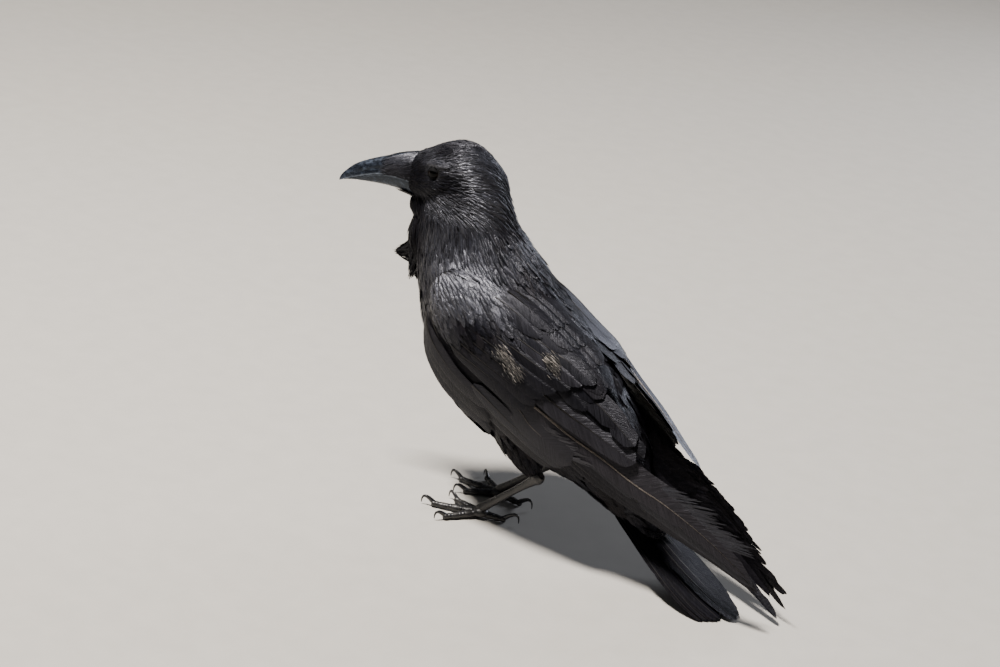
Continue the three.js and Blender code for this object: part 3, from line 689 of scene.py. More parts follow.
# heights over which the head's turn sets in, and how softly neighbouring places mix in mm squared
coatBlend = {"turnHeight": (240, 262), "softness": 14}


def coatAt(points):
    away = points - np.array([head["pivot"][0], 0, 0])
    c, s = math.cos(head["turn"]), math.sin(head["turn"])
    x = away[:, 0] * c + away[:, 1] * s + head["pivot"][0]
    straight = np.stack([x, away[:, 1] * c - away[:, 0] * s, points[:, 2]], -1)
    turned = ease(*coatBlend["turnHeight"], points[:, 2])[:, None]
    place = points * (1 - turned) + straight * turned
    place[:, 1] = np.abs(place[:, 1])
    gap = ((place[:, None] - placePoints[None]) ** 2).sum(-1)
    weight = 1 / (gap + coatBlend["softness"]) ** 2
    weight /= weight.sum(1, keepdims=True)
    return weight @ placeValues


# scattered roots, further apart where the feathers are larger
def scatterRoots(count):
    a, b, c = (skinPoints[triangles[:, n]] for n in range(3))
    area = np.linalg.norm(np.cross(b - a, c - a), axis=1) / 2
    spacing = coatAt((a + b + c) / 3)[:, 2]
    weight = area / spacing ** 2
    chosen = chance.choice(len(area), count, p=weight / weight.sum())
    u, v = chance.random(count), chance.random(count)
    flip = u + v > 1
    u[flip], v[flip] = 1 - u[flip], 1 - v[flip]
    points = a[chosen] + (b - a)[chosen] * u[:, None] + (c - a)[chosen] * v[:, None]
    return spreadOut(points, spacing[chosen])


# keeps each point that has no kept one within its spacing
def spreadOut(points, spacing):
    cell = 3.0
    cells, kept = {}, []
    keys = np.floor(points / cell).astype(int).tolist()
    for n, (point, key, gap) in enumerate(zip(points.tolist(), keys, spacing.tolist())):
        reach = math.ceil(gap / cell)
        around = itertools.product(*(range(k - reach, k + reach + 1) for k in key))
        if not any(math.dist(point, other) < gap for near in around for other in cells.get(near, ())):
            cells.setdefault(tuple(key), []).append(point)
            kept.append(n)
    return points[kept]


# half width along a feather, as a share of its widest
featherShapes = {
    "round": ([0, 0.12, 0.4, 0.7, 0.88, 1], [0.3, 0.62, 0.95, 1.0, 0.86, 0.5]),
    "lance": ([0, 0.15, 0.4, 0.65, 0.85, 1], [0.45, 0.85, 1.0, 0.72, 0.4, 0.06]),
    "flight": ([0, 0.06, 0.3, 0.75, 0.93, 1], [0.25, 0.7, 1.0, 0.95, 0.72, 0.3]),
    "primary": ([0, 0.06, 0.3, 0.7, 0.88, 0.96, 1], [0.25, 0.7, 1.0, 0.88, 0.55, 0.3, 0.1]),
    "bristle": ([0, 0.3, 0.7, 1], [1.0, 0.9, 0.55, 0.1]),
    "barbs": ([0, 0.2, 0.7, 0.92, 1], [0.5, 0.8, 1.0, 0.7, 0.25]),
}
# for every vane: how its rows close up towards the tip, the least fray, how square the tip is, how deep a
# split cuts, and the share of it on the lower web
vaneForm = {"rowPower": 0.9, "leastFray": 0.35, "tipPower": 2.2, "cut": (0.15, 0.5), "lowerCut": 0.4}


# Vanes as closed bodies: an arched top and a flat underside that share their rim. Midline, normal and across
# are arrays (feather, step, 3); low and high are half widths in mm on either side. Settings: rows and columns
# of the grid, shape, fray and roundness of the tip, arch and ridges in mm, and the share of split rows.
def vaneBodies(line, normal, across, low, high, length, settings):
    count, steps = line.shape[0], line.shape[1] - 1
    rows, columns = settings["rows"], settings["columns"]
    c = np.linspace(-1, 1, columns + 1)
    u = (np.linspace(0, 1, rows + 1) ** vaneForm["rowPower"])[None, :, None]
    odd = np.arange(columns + 1) % 2
    fray = settings["fray"] * (vaneForm["leastFray"] + chance.random((count, 1, columns + 1))) * (1 - odd)
    share = u * (1 - settings["tipRound"] * np.abs(c) ** vaneForm["tipPower"] - fray)
    place = share * steps
    i = np.minimum(place.astype(int), steps - 1)
    t = (place - i)[..., None]
    f = np.arange(count)[:, None, None]
    middle, up, side = (rowsOf[f, i] * (1 - t) + rowsOf[f, i + 1] * t for rowsOf in (line, normal, across))
    profile = np.interp(share, *featherShapes[settings["shape"]])
    splits = settings.get("splits", 0.0)
    if splits:
        torn = chance.random((count, rows + 1, 2)) < splits
        torn[:, : rows // 4] = False
        cut = 1 - np.where(torn, chance.uniform(*vaneForm["cut"], torn.shape), 0)
        lowerCut = 1 - (1 - cut[..., :1]) * vaneForm["lowerCut"]
        profile = profile * np.where(c < 0, lowerCut, cut[..., 1:])
    half = np.where(c < 0, low[:, None, None], high[:, None, None]) * profile
    arch = settings["arch"] * np.minimum(low, high)[:, None, None] * profile * (1 - c ** 2)
    inside = odd * (np.abs(c) < 0.99)
    ridges = settings["ridge"] * inside * np.sin(np.minimum(share * 3, 1) * math.pi / 2)
    points = middle + unit(side) * (c * half)[..., None] + unit(up) * (arch + ridges)[..., None]
    grid = np.arange((rows + 1) * (columns + 1)).reshape(rows + 1, columns + 1)
    top = np.stack([grid[:-1, :-1], grid[:-1, 1:], grid[1:, 1:], grid[1:, :-1]], -1).reshape(-1, 4)
    under = np.stack([grid[:-1, 0], grid[1:, 0], grid[1:, -1], grid[:-1, -1]], -1)
    ends = np.stack([grid[0, ::-1], grid[-1]])
    starts = (np.arange(count) * grid.size)[:, None, None]
    faceSets = [(np.concatenate([top, under]) + starts).reshape(-1, 4),
                (ends + starts).reshape(-1, columns + 1)]
    vane = np.stack([c * half, share * length[:, None, None]], -1).reshape(-1, 2)
    patch = np.stack([np.broadcast_to((c + 1) / 2, share.shape), share], -1).reshape(-1, 2)
    return points.reshape(-1, 3), faceSets, vane, patch, grid.size, share.reshape(-1)


# chance, wear, painted sheen and share of length, as the feather materials read them
def lookOf(count, wear, glossAndPaintedSheen, wearSpread=0.08, paintedSheenSpread=(0.7, 1.3)):
    return np.stack([
        chance.random(count), np.clip(wear + wearSpread * chance.standard_normal(count), 0, 1),
        np.clip(glossAndPaintedSheen * chance.uniform(*paintedSheenSpread, count), 0, 1), np.zeros(count)], -1)


# gathers the bodies of one feathered piece, then makes it
class FeatherPiece:
    def __init__(self):
        self.points, self.faces, self.vane, self.bake, self.look, self.finish = [], [], [], [], [], []
        self.used = 0

    def add(self, body, faces, vane, bake, look, finish=0):
        self.points.append(body)
        self.faces += [f + self.used for f in faces]
        self.finish += [np.full(len(f), finish) for f in faces]
        self.vane.append(vane)
        self.bake.append(bake)
        self.look.append(look)
        self.used += len(body)

    def make(self, name, materials):
        points, finish = np.concatenate(self.points), np.concatenate(self.finish)
        piece = makeMesh(name, points, self.faces, materials, finish)
        addMap(piece, "OFBake", np.concatenate(self.bake))
        addMap(piece, "Vane", np.concatenate(self.vane))
        attribute = piece.data.attributes.new("Look", "FLOAT_COLOR", "POINT")
        attribute.data.foreach_set("color", np.concatenate(self.look).astype(np.float32).ravel())
        piece.data.set_sharp_from_angle(angle=math.radians(48))
        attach(piece, "root")
        print(name, sum(len(f) * (f.shape[1] - 2) for f in self.faces), "triangles")
        return piece


bakePatch = 0.003       # side of a small feather's patch on the bake map, as a share of the map


# one coat piece from any number of batches: midlines, normals, across, half widths, lengths, uv, look and
# settings
def makeCoat(name, batches, material):
    gathered = FeatherPiece()
    for line, normal, across, half, length, uv, look, settings in batches:
        body, faces, vane, patch, size, share = vaneBodies(line, normal, across, half, half, length, settings)
        look = np.repeat(look, size, 0)
        # the painted sheen grows towards each feather's tip
        look[:, 2] = np.clip(look[:, 2] * (1 + settings.get("tipPaintedSheen", 0.0) * share ** 3), 0, 1)
        look[:, 3] = share
        gathered.add(body, faces, vane, np.repeat(uv, size, 0) + (patch - 0.5) * bakePatch, look)
    return gathered.make(name, [material])


# lays midlines over the skin from their roots
def layOnSkin(roots, lengths, stand, steps, turnBy):
    spots, normals, rootUv = onSkin(roots)
    lie = lieOfCoat(spots, normals)
    side = np.cross(normals, lie)
    lie = unit(lie * np.cos(turnBy)[:, None] + side * np.sin(turnBy)[:, None])
    line, up, across = [], [], []
    for step in range(steps + 1):
        lift = 0.5 + (stand - 0.5) * step / steps
        line.append(spots + normals * lift[:, None])
        up.append(normals)
        across.append(unit(np.cross(lie, normals)))
        if step < steps:
            spots, nextNormals, _ = onSkin(spots + lie * (lengths / steps)[:, None])
            fresh = lieOfCoat(spots, nextNormals)
            lie = unit(squareTo(lie, nextNormals) * 0.65 + fresh * 0.35)
            normals = unit(nextNormals * 0.7 + normals * 0.3)
    return np.stack(line, 1), np.stack(up, 1), np.stack(across, 1), rootUv


# the coat: candidate roots, spread of length, width, stand, turn and roll, and room left at eyes and bill
coat = {"candidates": 90000, "length": 0.2, "width": 0.12, "stand": 0.35, "turn": 0.16, "roll": 0.2,
        "eyes": ((24.8, 21, 298), 5.3), "bill": ((52, 0, 288), 7)}
roots = scatterRoots(coat["candidates"])
clear = np.linalg.norm(roots - fromHead(*coat["bill"][0]), axis=1) > coat["bill"][1]
for sign in (-1, 1):
    forward, aside, height = coat["eyes"][0]
    clear &= np.linalg.norm(roots - fromHead(forward, sign * aside, height), axis=1) > coat["eyes"][1]
roots = roots[clear]
values = coatAt(roots)
count = len(roots)
lengths, halves, stands = (values[:, column] * (1 + coat[key] * chance.standard_normal(count))
                           for column, key in ((0, "length"), (1, "width"), (3, "stand")))
turns = coat["turn"] * chance.standard_normal(count)
line, up, across, rootUv = layOnSkin(roots, lengths, stands, 5, turns)
roll = coat["roll"] * chance.standard_normal(count)
across = unit(across + up * roll[:, None, None])
look = lookOf(count, values[:, 4], values[:, 5], 0.1, (0.55, 1.3))
print("coat roots", count)

# which piece each feather belongs to, by its half width, its root's height and how much it faces up
coatParts = {"smallHalf": 2.7, "headFrom": 262, "neckFrom": 150, "legBelow": 110, "facingUp": 0.15}
small = halves < coatParts["smallHalf"]
headPart = roots[:, 2] > coatParts["headFrom"]
neckPart = ~headPart & small & (roots[:, 2] > coatParts["neckFrom"])
legPart = small & (roots[:, 2] < coatParts["legBelow"])
largePart = ~(headPart | neckPart | legPart)
upperPart = largePart & (up[:, 0, 2] > coatParts["facingUp"])
lowerPart = largePart & ~upperPart
fine = {"rows": 3, "columns": 2, "shape": "lance", "fray": 0.1, "tipRound": 0.18, "arch": 0.55, "ridge": 0.0}
loose = {"rows": 4, "columns": 4, "shape": "lance", "fray": 0.16, "tipRound": 0.22, "arch": 0.5,
         "ridge": 0.12}
broad = {"rows": 5, "columns": 8, "shape": "round", "fray": 0.13, "tipRound": 0.34, "arch": 0.13,
         "ridge": 0.16, "tipPaintedSheen": 0.5}


# the brow: a ledge of short feathers that overhangs each eye
brow = {"count": 130, "forward": (17, 35), "drop": (0, 3.4), "length": (6.5, 10.5), "width": (0.6, 0.95),
        "stand": 2.8, "turn": 0.25, "middle": (26, 21.5, 304.6)}
browBatches = []
for sign in (-1, 1):
    count = brow["count"]
    forward, drop = chance.uniform(*brow["forward"], count), chance.uniform(*brow["drop"], count)
    fromMiddle = (forward - brow["middle"][0]) ** 2
    browRoots = fromHead(forward, -sign * (brow["middle"][1] - 0.05 * fromMiddle),
                         brow["middle"][2] + drop - 0.012 * fromMiddle)
    reach = chance.uniform(*brow["length"], count)
    half = chance.uniform(*brow["width"], count)
    turn = sign * brow["turn"] * (1 + 0.3 * chance.standard_normal(count))
    laid = layOnSkin(browRoots, reach, np.full(count, brow["stand"]), 4, turn)
    # the brow's feathers carry a strong painted sheen, the highlight along the ledge
    browHighlightLook = np.stack([
        chance.random(count), np.zeros(count), chance.uniform(0.8, 1.0, count), np.zeros(count)], -1)
    browBatches.append((*laid[:3], half, reach, laid[3], browHighlightLook, fine))


def batchOf(mask, settings):
    return *(values[mask] for values in (line, up, across, halves, lengths, rootUv, look)), settings


makeCoat("coat_head", [batchOf(headPart, fine)] + browBatches, bodyFeather)
makeCoat("coat_neck", [batchOf(neckPart, loose)], bodyFeather)
makeCoat("coat_thighs", [batchOf(legPart, loose)], bodyFeather)
makeCoat("coat_back_and_shoulders", [batchOf(upperPart, broad)], bodyFeather)
makeCoat("coat_breast_and_belly", [batchOf(lowerPart, broad)], bodyFeather)

# Flight feathers and their coverts follow routes over the folded wing. Each row: the places (share along the
# wing, share up from its lower edge), then mm of lower web, upper web, height at root and at tip, wear and
# painted sheen, and at the end degrees of tilt where it isn't its group's.
wingRows = {
    "lowerCoverts": [
        ([(0.26, -0.30), (0.34, -0.40), (0.42, -0.43), (0.495, -0.42)], 5, 8, -4.4, -6.6, 0.1, 0.1),
        ([(0.27, -0.18), (0.36, -0.30), (0.45, -0.38), (0.530, -0.36)], 8, 9, -2.8, -4.0, 0.12, 0.1),
        ([(0.29, -0.08), (0.38, -0.16), (0.46, -0.20), (0.555, -0.19)], 9, 9, -2.2, -3.4, 0.15, 0.12),
        ([(0.26, 0.04), (0.40, 0.06), (0.455, 0.01), (0.52, 0.03), (0.572, 0.01)],
         12, 15, -8.0, -1.6, 0.55, 0.35),
        ([(0.04, -0.08), (0.14, -0.25), (0.24, -0.43), (0.345, -0.60)], 8, 7, -9.0, -6.0, 0.1, 0.0),
        ([(0.06, -0.14), (0.17, -0.28), (0.27, -0.43), (0.385, -0.57)], 8, 9, -8.0, -3.5, 0.1, 0.0),
        ([(0.08, -0.10), (0.20, -0.26), (0.31, -0.42), (0.415, -0.53)], 9, 10, -7.5, -4.5, 0.1, 0.0),
        ([(0.05, -0.10), (0.16, -0.24), (0.26, -0.40), (0.382, -0.56)], 8, 7, -3.8, 0.0, 0.15, 0.08),
        ([(0.07, -0.06), (0.18, -0.16), (0.27, -0.29), (0.368, -0.43)], 9, 8, -3.4, -0.8, 0.1, 0.12),
        ([(0.09, -0.03), (0.18, -0.08), (0.26, -0.16), (0.345, -0.24)], 9, 8, -3.0, -1.6, 0.1, 0.08),
        ([(0.05, 0.08), (0.16, 0.02), (0.27, -0.10), (0.40, -0.24)], 11, 11, -6.5, -5.0, 0.1, 0.0),
        ([(0.06, -0.04), (0.17, -0.14), (0.29, -0.28), (0.43, -0.40)], 11, 11, -7.2, -5.4, 0.1, 0.0),
    ],
    "primaries": [
        ([(0.48, -0.04), (0.60, -0.08), (0.70, -0.06), (0.79, -0.02)], 4, 11, -9.2, -8.4, 0.3, 0.1),
        ([(0.48, 0.00), (0.62, -0.05), (0.74, -0.01), (0.87, -0.02)], 4, 12, -8.6, -7.8, 0.3, 0.1),
        ([(0.48, 0.04), (0.65, 0.00), (0.78, 0.03), (0.915, 0.0)], 5, 12, -8.0, -7.2, 0.35, 0.1),
        ([(0.48, 0.10), (0.68, 0.08), (0.82, 0.06), (0.955, -0.03)], 5, 12, -7.4, -6.6, 0.45, 0.2),
        ([(0.48, 0.14), (0.70, 0.16), (0.84, 0.14), (0.958, 0.08)], 6, 14, -6.8, -6.0, 0.45, 0.15),
        ([(0.47, 0.20), (0.70, 0.28), (0.84, 0.24), (0.95, 0.18)], 8, 15, -6.2, -5.4, 0.5, 0.3),
        ([(0.44, 0.22), (0.545, 0.28), (0.635, 0.37), (0.715, 0.40), (0.79, 0.46), (0.87, 0.41),
          (0.945, 0.31)],
         11, 17, -5.4, -4.8, 0.55, 0.25),
    ],
    "secondaries": [
        ([(0.38, 0.34), (0.50, 0.38), (0.60, 0.50), (0.685, 0.64)], 8, 12, -5.6, -5.2, 0.4, 0.15),
        ([(0.38, 0.40), (0.50, 0.42), (0.60, 0.54), (0.695, 0.69)], 8, 12, -5.0, -4.0, 0.4, 0.15),
        ([(0.38, 0.40), (0.48, 0.44), (0.59, 0.57), (0.70, 0.74)], 11, 11, -4.4, -2.6, 0.35, 0.25),
        ([(0.38, 0.56), (0.48, 0.66), (0.60, 0.80), (0.715, 0.92)], 7, 12, -5.0, -4.6, 0.1, 0.0),
        ([(0.37, 0.66), (0.46, 0.77), (0.57, 0.88), (0.685, 0.97)], 10, 12, -7.0, -1.6, 0.25, 0.12),
        ([(0.30, 0.80), (0.38, 0.89), (0.46, 0.95), (0.555, 0.98)], 10, 10, -7.0, -2.6, 0.2, 0.06),
        ([(0.28, 0.94), (0.36, 1.02), (0.43, 1.08), (0.51, 1.08)], 10, 10, -7.0, -3.0, 0.2, 0.06),
    ],
    "greaterCoverts": [
        ([(0.20, 0.10), (0.28, 0.13), (0.36, 0.14), (0.425, 0.14)], 9, 10, -4.6, -1.2, 0.1, 0.1),
        ([(0.22, 0.20), (0.30, 0.22), (0.38, 0.25), (0.440, 0.27)], 8, 9, -4.6, -1.0, 0.15, 0.1),
        ([(0.24, 0.30), (0.32, 0.33), (0.39, 0.36), (0.445, 0.40)], 8, 8, -4.6, -0.8, 0.1, 0.1),
        ([(0.25, 0.41), (0.34, 0.45), (0.41, 0.50), (0.460, 0.55)], 8, 8, -4.6, -0.6, 0.1, 0.1),
        ([(0.27, 0.53), (0.35, 0.58), (0.42, 0.64), (0.480, 0.70)], 8, 8, -4.6, -0.4, 0.1, 0.15),
        ([(0.28, 0.66), (0.36, 0.72), (0.43, 0.79), (0.495, 0.84)], 8, 8, -4.6, -0.2, 0.15, 0.2),
        ([(0.29, 0.79), (0.37, 0.85), (0.45, 0.93), (0.515, 0.98)], 8, 9, -4.6, 0.0, 0.2, 0.25),
    ],
}
farPrimaries = [
    ([(0.48, -0.06), (0.66, -0.20), (0.84, -0.28), (1.004, -0.44)], 4, 9, -8.0, -7.2, 0.05, 0.0),
    ([(0.48, 0.00), (0.66, -0.10), (0.82, -0.12), (0.965, -0.02)], 5, 14, -7.4, -6.6, 0.05, 0.0),
    ([(0.48, 0.06), (0.66, 0.02), (0.84, 0.14), (1.012, 0.42)], 6, 11, -6.8, -6.0, 0.1, 0.0),
    ([(0.48, 0.12), (0.66, 0.12), (0.83, 0.28), (0.975, 0.54)], 7, 13, -6.2, -5.4, 0.15, 0.0),
    ([(0.48, 0.18), (0.66, 0.22), (0.82, 0.43), (0.950, 0.66)], 7, 15, -5.6, -5.0, 0.4, 0.1),
    ([(0.47, 0.24), (0.64, 0.32), (0.78, 0.53), (0.91, 0.70)], 8, 15, -5.0, -4.6, 0.4, 0.1),
    ([(0.46, 0.30), (0.62, 0.40), (0.75, 0.61), (0.865, 0.74)], 9, 15, -4.6, -4.2, 0.4, 0.15),
]
# the far wing's uppermost feathers carry a full painted sheen, as lit from above
farSecondaries = [
    ([(0.38, 0.90), (0.50, 0.87), (0.64, 0.93), (0.77, 0.77)], 6, 6, -2.0, 2.5, 0.6, 1.0, 62.0),
    ([(0.22, 0.94), (0.31, 1.00), (0.40, 1.00), (0.50, 0.90)], 13, 13, -6.0, 0.2, 0.2, 1.0),
    ([(0.20, 1.10), (0.29, 1.14), (0.38, 1.12), (0.475, 1.02)], 13, 13, -6.0, 1.2, 0.2, 1.0),
    ([(0.19, 1.26), (0.27, 1.28), (0.36, 1.26), (0.44, 1.18)], 12, 12, -6.0, 1.8, 0.2, 1.0),
]
# shoulder feathers lie like tiles in ranks, the rearmost undermost
wingRows["scapulars"] = []
for rank, s in enumerate((0.41, 0.34, 0.27, 0.20)):
    for file in range(5):
        t = 0.78 + 0.15 * file + (0.07 if rank % 2 else 0) - 0.1 * ease(0.3, 0.4, s)
        route = [(s, t), (s + 0.045, t + 0.015), (s + 0.09, t + 0.02), (s + 0.135, t + 0.01)]
        wingRows["scapulars"].append((route, 9.5, 9.5, -5.0, -2.9 + 0.1 * rank, 0.1, 0.12))
# as for vaneBodies, then the tilt that lays one web over its neighbour, and the shaft's thickness
wingShapes = {
    "lowerCoverts": {"rows": 14, "columns": 12, "shape": "flight", "fray": 0.012, "tipRound": 0.10,
                     "arch": 0.10, "ridge": 0.10, "splits": 0.02, "tilt": 9.0, "shaft": 0.6},
    "primaries": {"rows": 30, "columns": 12, "shape": "primary", "fray": 0.014, "tipRound": 0.05,
                  "arch": 0.07, "ridge": 0.10, "splits": 0.05, "tilt": 12.0, "shaft": 1.0},
    "secondaries": {"rows": 22, "columns": 12, "shape": "flight", "fray": 0.010, "tipRound": 0.06,
                    "arch": 0.08, "ridge": 0.10, "splits": 0.03, "tilt": 9.0, "shaft": 1.0},
    "scapulars": {"rows": 14, "columns": 12, "shape": "round", "fray": 0.05, "tipRound": 0.3, "arch": 0.16,
                  "ridge": 0.14, "tilt": 3.0, "shaft": 0.6},
    "greaterCoverts": {"rows": 10, "columns": 12, "shape": "round", "fray": 0.02, "tipRound": 0.16,
                       "arch": 0.14, "ridge": 0.12, "tilt": 5.0, "shaft": 0.5},
}
# the far wing has its own primaries, more torn, and more feathers after its secondaries
farRows = {**wingRows, "primaries": farPrimaries, "secondaries": wingRows["secondaries"] + farSecondaries}
farShapes = {**wingShapes, "primaries": {**wingShapes["primaries"], "splits": 0.14}}
wings = {-1: ("left", wingRows, wingShapes), 1: ("right", farRows, farShapes)}
# a shaft: mm of radius at root and tip, sides, where it ends, how it sinks and is flattened, mm above the
# vane, and its thickness as a base and a share of the narrower web
shaft = {"root": 1.0, "tip": 0.2, "sides": 5, "end": 0.97, "sink": 0.6, "flat": 0.8, "stand": 0.25,
         "base": 0.55, "perWeb": 0.05625}


# one folded-wing feather's midline with its outward and across directions
def wingRoute(side, route, heights, tilt, steps=26):
    share = np.linspace(0, 1, steps + 1)
    places = along(route, share)
    s, t = places[:, 0], places[:, 1]
    out = wingOutward(side, s, t)
    share = share[:, None]
    line = wingPoint(side, s, t) + out * (heights[0] * (1 - share) + heights[1] * share)
    direction = unit(np.gradient(line, axis=0))
    out = squareTo(out, direction)
    # the web nearer the wing's lower edge covers its neighbour, so it stands a little higher
    across = unit(unit(np.cross(direction, out)) - side * out * math.tan(math.radians(tilt)))
    return line, out, across


# a tapering shaft along a midline
def shaftBody(line, out, lift, width):
    k = np.linspace(0, 1, len(line))
    path = along(line, k * shaft["end"])
    radius = shaft["root"] * width * (1 - k) + shaft["tip"] * k
    path = path + along(out, k) * (lift * (1 - k * shaft["sink"]))[:, None]
    across = unit(np.cross(unit(np.gradient(path, axis=0)), along(out, k)))
    return loftRings(limbRings(path, radius, radius * shaft["flat"], across, shaft["sides"]))


# a lock: its steps, how much reach and slant differ, how it bends forward, and how curl and width differ
lockForm = {"steps": 5, "reachSpread": 0.16, "slantSpread": 0.12, "bend": 0.35, "curl": (0.4, 1.4),
            "width": (0.6, 1.4)}


# thin locks of barbs that leave a shaft on one side, towards the tip
def barbLocks(line, out, across, spans, settings):
    first, last, count = spans
    at = np.sort(chance.uniform(first, last, count))
    root, up, aside = along(line, at), along(out, at), along(across, at)
    forward = unit(along(line, np.minimum(at + 0.03, 1)) - along(line, at - 0.02))
    reach = settings["reach"] * (1 - settings["taper"] * at)
    reach = reach * (1 + lockForm["reachSpread"] * chance.standard_normal(count))
    slant = settings["slant"] * (1 + lockForm["slantSpread"] * chance.standard_normal(count))
    lines = []
    for k in np.linspace(0, 1, lockForm["steps"]):
        lift = settings["lift"] + settings["curl"] * k * k * chance.uniform(*lockForm["curl"], count)
        ahead = reach * slant * (k + lockForm["bend"] * k * k)
        lines.append(root + aside * (reach * k)[:, None] + up * lift[:, None] + forward * ahead[:, None])
    lines = np.stack(lines, 1)
    ups = np.repeat(up[:, None], lockForm["steps"], 1)
    width = settings["width"] * chance.uniform(*lockForm["width"], count)
    length = np.linalg.norm(np.diff(lines, axis=1), axis=2).sum(1)
    return lines, ups, unit(np.cross(unit(np.gradient(lines, axis=1)), ups)), width, width, length


# each large feather has its own square of the bake map, and its shaft the next one
class BakeSquares:
    def __init__(self, count):
        self.columns = math.ceil(math.sqrt(count))
        self.size = 1 / self.columns
        self.used = 0

    def place(self, shares):
        corner = np.array([self.used % self.columns, self.used // self.columns]) * self.size
        self.used += 1
        return corner + (0.03 + 0.94 * shares) * self.size


# large feathers (midline, out, across, low, high, look, settings) with their shafts, and locks of barbs
def makeFlight(name, feathers, locks=()):
    squares = BakeSquares(2 * len(feathers) + len(locks))
    gathered = FeatherPiece()
    for line, out, across, low, high, look, settings in feathers:
        length = np.linalg.norm(np.diff(line, axis=0), axis=1).sum()
        body, faces, vane, patch, size, share = vaneBodies(
            line[None], out[None], across[None], np.array([low], float), np.array([high], float),
            np.array([length]), settings)
        look = look[:, :3]
        pointLook = np.column_stack([np.repeat(look, size, 0), share])
        gathered.add(body, faces, vane, squares.place(patch), pointLook)
        narrow = min(low, high)
        thickness = (narrow * shaft["perWeb"] + shaft["base"]) * settings.get("shaft", 1.0)
        body, faces = shaftBody(line, out, settings["arch"] * narrow + shaft["stand"], thickness)
        a, k = loftPlaces(len(line), shaft["sides"])
        shaftLook = np.column_stack([np.repeat(look, len(body), 0), k])
        gathered.add(body, faces, np.column_stack([a * 2, k * length]), squares.place(np.column_stack([a, k])),
                     shaftLook, 1)
    for lines, ups, across, low, high, length, look, settings in locks:
        body, faces, vane, patch, size, share = vaneBodies(lines, ups, across, low, high, length, settings)
        wide = math.ceil(math.sqrt(len(lines)))
        number = np.repeat(np.arange(len(lines)), size)
        spots = np.column_stack([number % wide, number // wide]) + 0.05 + 0.9 * patch
        look = np.column_stack([np.repeat(look[:, :3], size, 0), share])
        gathered.add(body, faces, vane, squares.place(spots / wide), look)
    return gathered.make(name, [wingFeather, shaftHorn])


barbs = {
    "inner": {"reach": 18.0, "taper": 0.2, "slant": 1.3, "lift": 0.1, "curl": 0.3, "width": 0.6},
    "edge": {"reach": 14.4, "taper": 0.32, "slant": 1.7, "lift": -0.2, "curl": 0.0, "width": 3.0},
    "brown": {"reach": 15.0, "taper": 0.15, "slant": 1.0, "lift": 0.2, "curl": 0.6, "width": 0.6},
}
barbShape = {"rows": 5, "columns": 2, "shape": "barbs", "fray": 0.0, "tipRound": 0.05, "arch": 0.25,
             "ridge": 0.0}
# webs that come apart: sides, group, rows, (from, to, how many locks), which barbs, wear and painted sheen
tornWebs = [
    ((-1,), "primaries", (6,), (0.50, 0.86, 120), "inner", 0.4, 0.6),
    ((1,), "primaries", (3, 4, 5, 6), (0.45, 0.93, 26), "edge", 0.2, 0.05),
    ((-1, 1), "lowerCoverts", (3,), (0.42, 0.93, 34), "brown", 0.9, 0.5),
]
for side, (sideName, groups, shapes) in wings.items():
    for groupName, rows in groups.items():
        shape = shapes[groupName]
        feathers, locks = [], []
        for number, (route, lower, upper, heightRoot, heightTip, wear, glossAndPaintedSheen, *tilt) in enumerate(rows):
            lean = tilt[0] if tilt else shape["tilt"]
            line, out, across = wingRoute(side, route, (heightRoot, heightTip), lean)
            low, high = (upper, lower) if side < 0 else (lower, upper)
            feathers.append((line, out, across, low, high, lookOf(1, wear, glossAndPaintedSheen), shape))
            for sides, webGroup, numbers, spans, kind, webWear, webPaintedSheen in tornWebs:
                if side in sides and groupName == webGroup and number in numbers:
                    lock = barbLocks(line, out, across * side, spans, barbs[kind])
                    locks.append((*lock, lookOf(spans[2], webWear, webPaintedSheen), barbShape))
        makeFlight(f"wing_{sideName}_{groupName}", feathers, locks)
    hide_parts(f"wing_{sideName}_primaries")
    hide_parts(f"wing_{sideName}_secondaries")

# Tail: twelve feathers in two stacks that part towards the tip. Each: place across (-1 is the left edge and 1
# the right), share of length, mm of outer and inner web, and mm added to its length.
tail = {
    "halfWidth": 26.0, "wedge": 8.4, "roof": 2.2,
    "feathers": [
        (-1.06, 0.940, 4, 9, 0), (-0.90, 0.955, 4, 9, 0), (-0.76, 0.970, 4, 9, 0), (-0.64, 0.985, 5, 9, 0),
        (-0.52, 0.980, 5, 9, 0), (-0.14, 1.0, 8, 10, 8), (1.36, 0.90, 5, 10, 0), (1.16, 0.925, 5, 10, 0),
        (0.96, 0.95, 5, 10, 0), (0.74, 0.975, 6, 10, 1), (0.48, 0.99, 8, 10, 3), (0.18, 1.0, 9, 10, 6)],
    # how far each stack spreads over its length: at the root and how much more at the tip
    "spread": {"left": (0.8, 0.2), "right": (1.24, -0.38)},
    # mm by which a stack's feathers lie on each other; floor is the first one's gap and what each next adds
    "order": {"each": 0.55, "atRoot": 0.35, "first": 1.0, "fall": 2.2, "lowest": -1.2, "floor": (0.9, 0.32)},
    "shape": {"rows": 26, "columns": 12, "shape": "flight", "fray": 0.012, "tipRound": 0.045, "arch": 0.05,
              "ridge": 0.03, "splits": 0.03},
}
# its coverts, over and under: how far they reach and are staggered, and where they start on the rump
tailCoverts = {
    "reach": {0.30: 0.12, 0.46: 0.0}, "count": 6, "across": 0.72, "half": 7, "root": (146, -3, 58),
    "shape": {"rows": 12, "columns": 10, "shape": "round", "fray": 0.04, "tipRound": 0.14, "arch": 0.12,
              "ridge": 0.08},
}


def tailPoint(k, a, height):
    k, a, height = np.broadcast_arrays(np.asarray(k, float), np.asarray(a, float), np.asarray(height, float))
    rows = along(tailRows, k)
    x = rows[..., 0] - tail["wedge"] * a ** 2 * k
    z = rows[..., 1] + tail["roof"] * (1 - a ** 2) * (1 - 0.9 * k) + height
    return np.stack([x, rows[..., 2] + a * tail["halfWidth"] * rows[..., 3], z], -1)


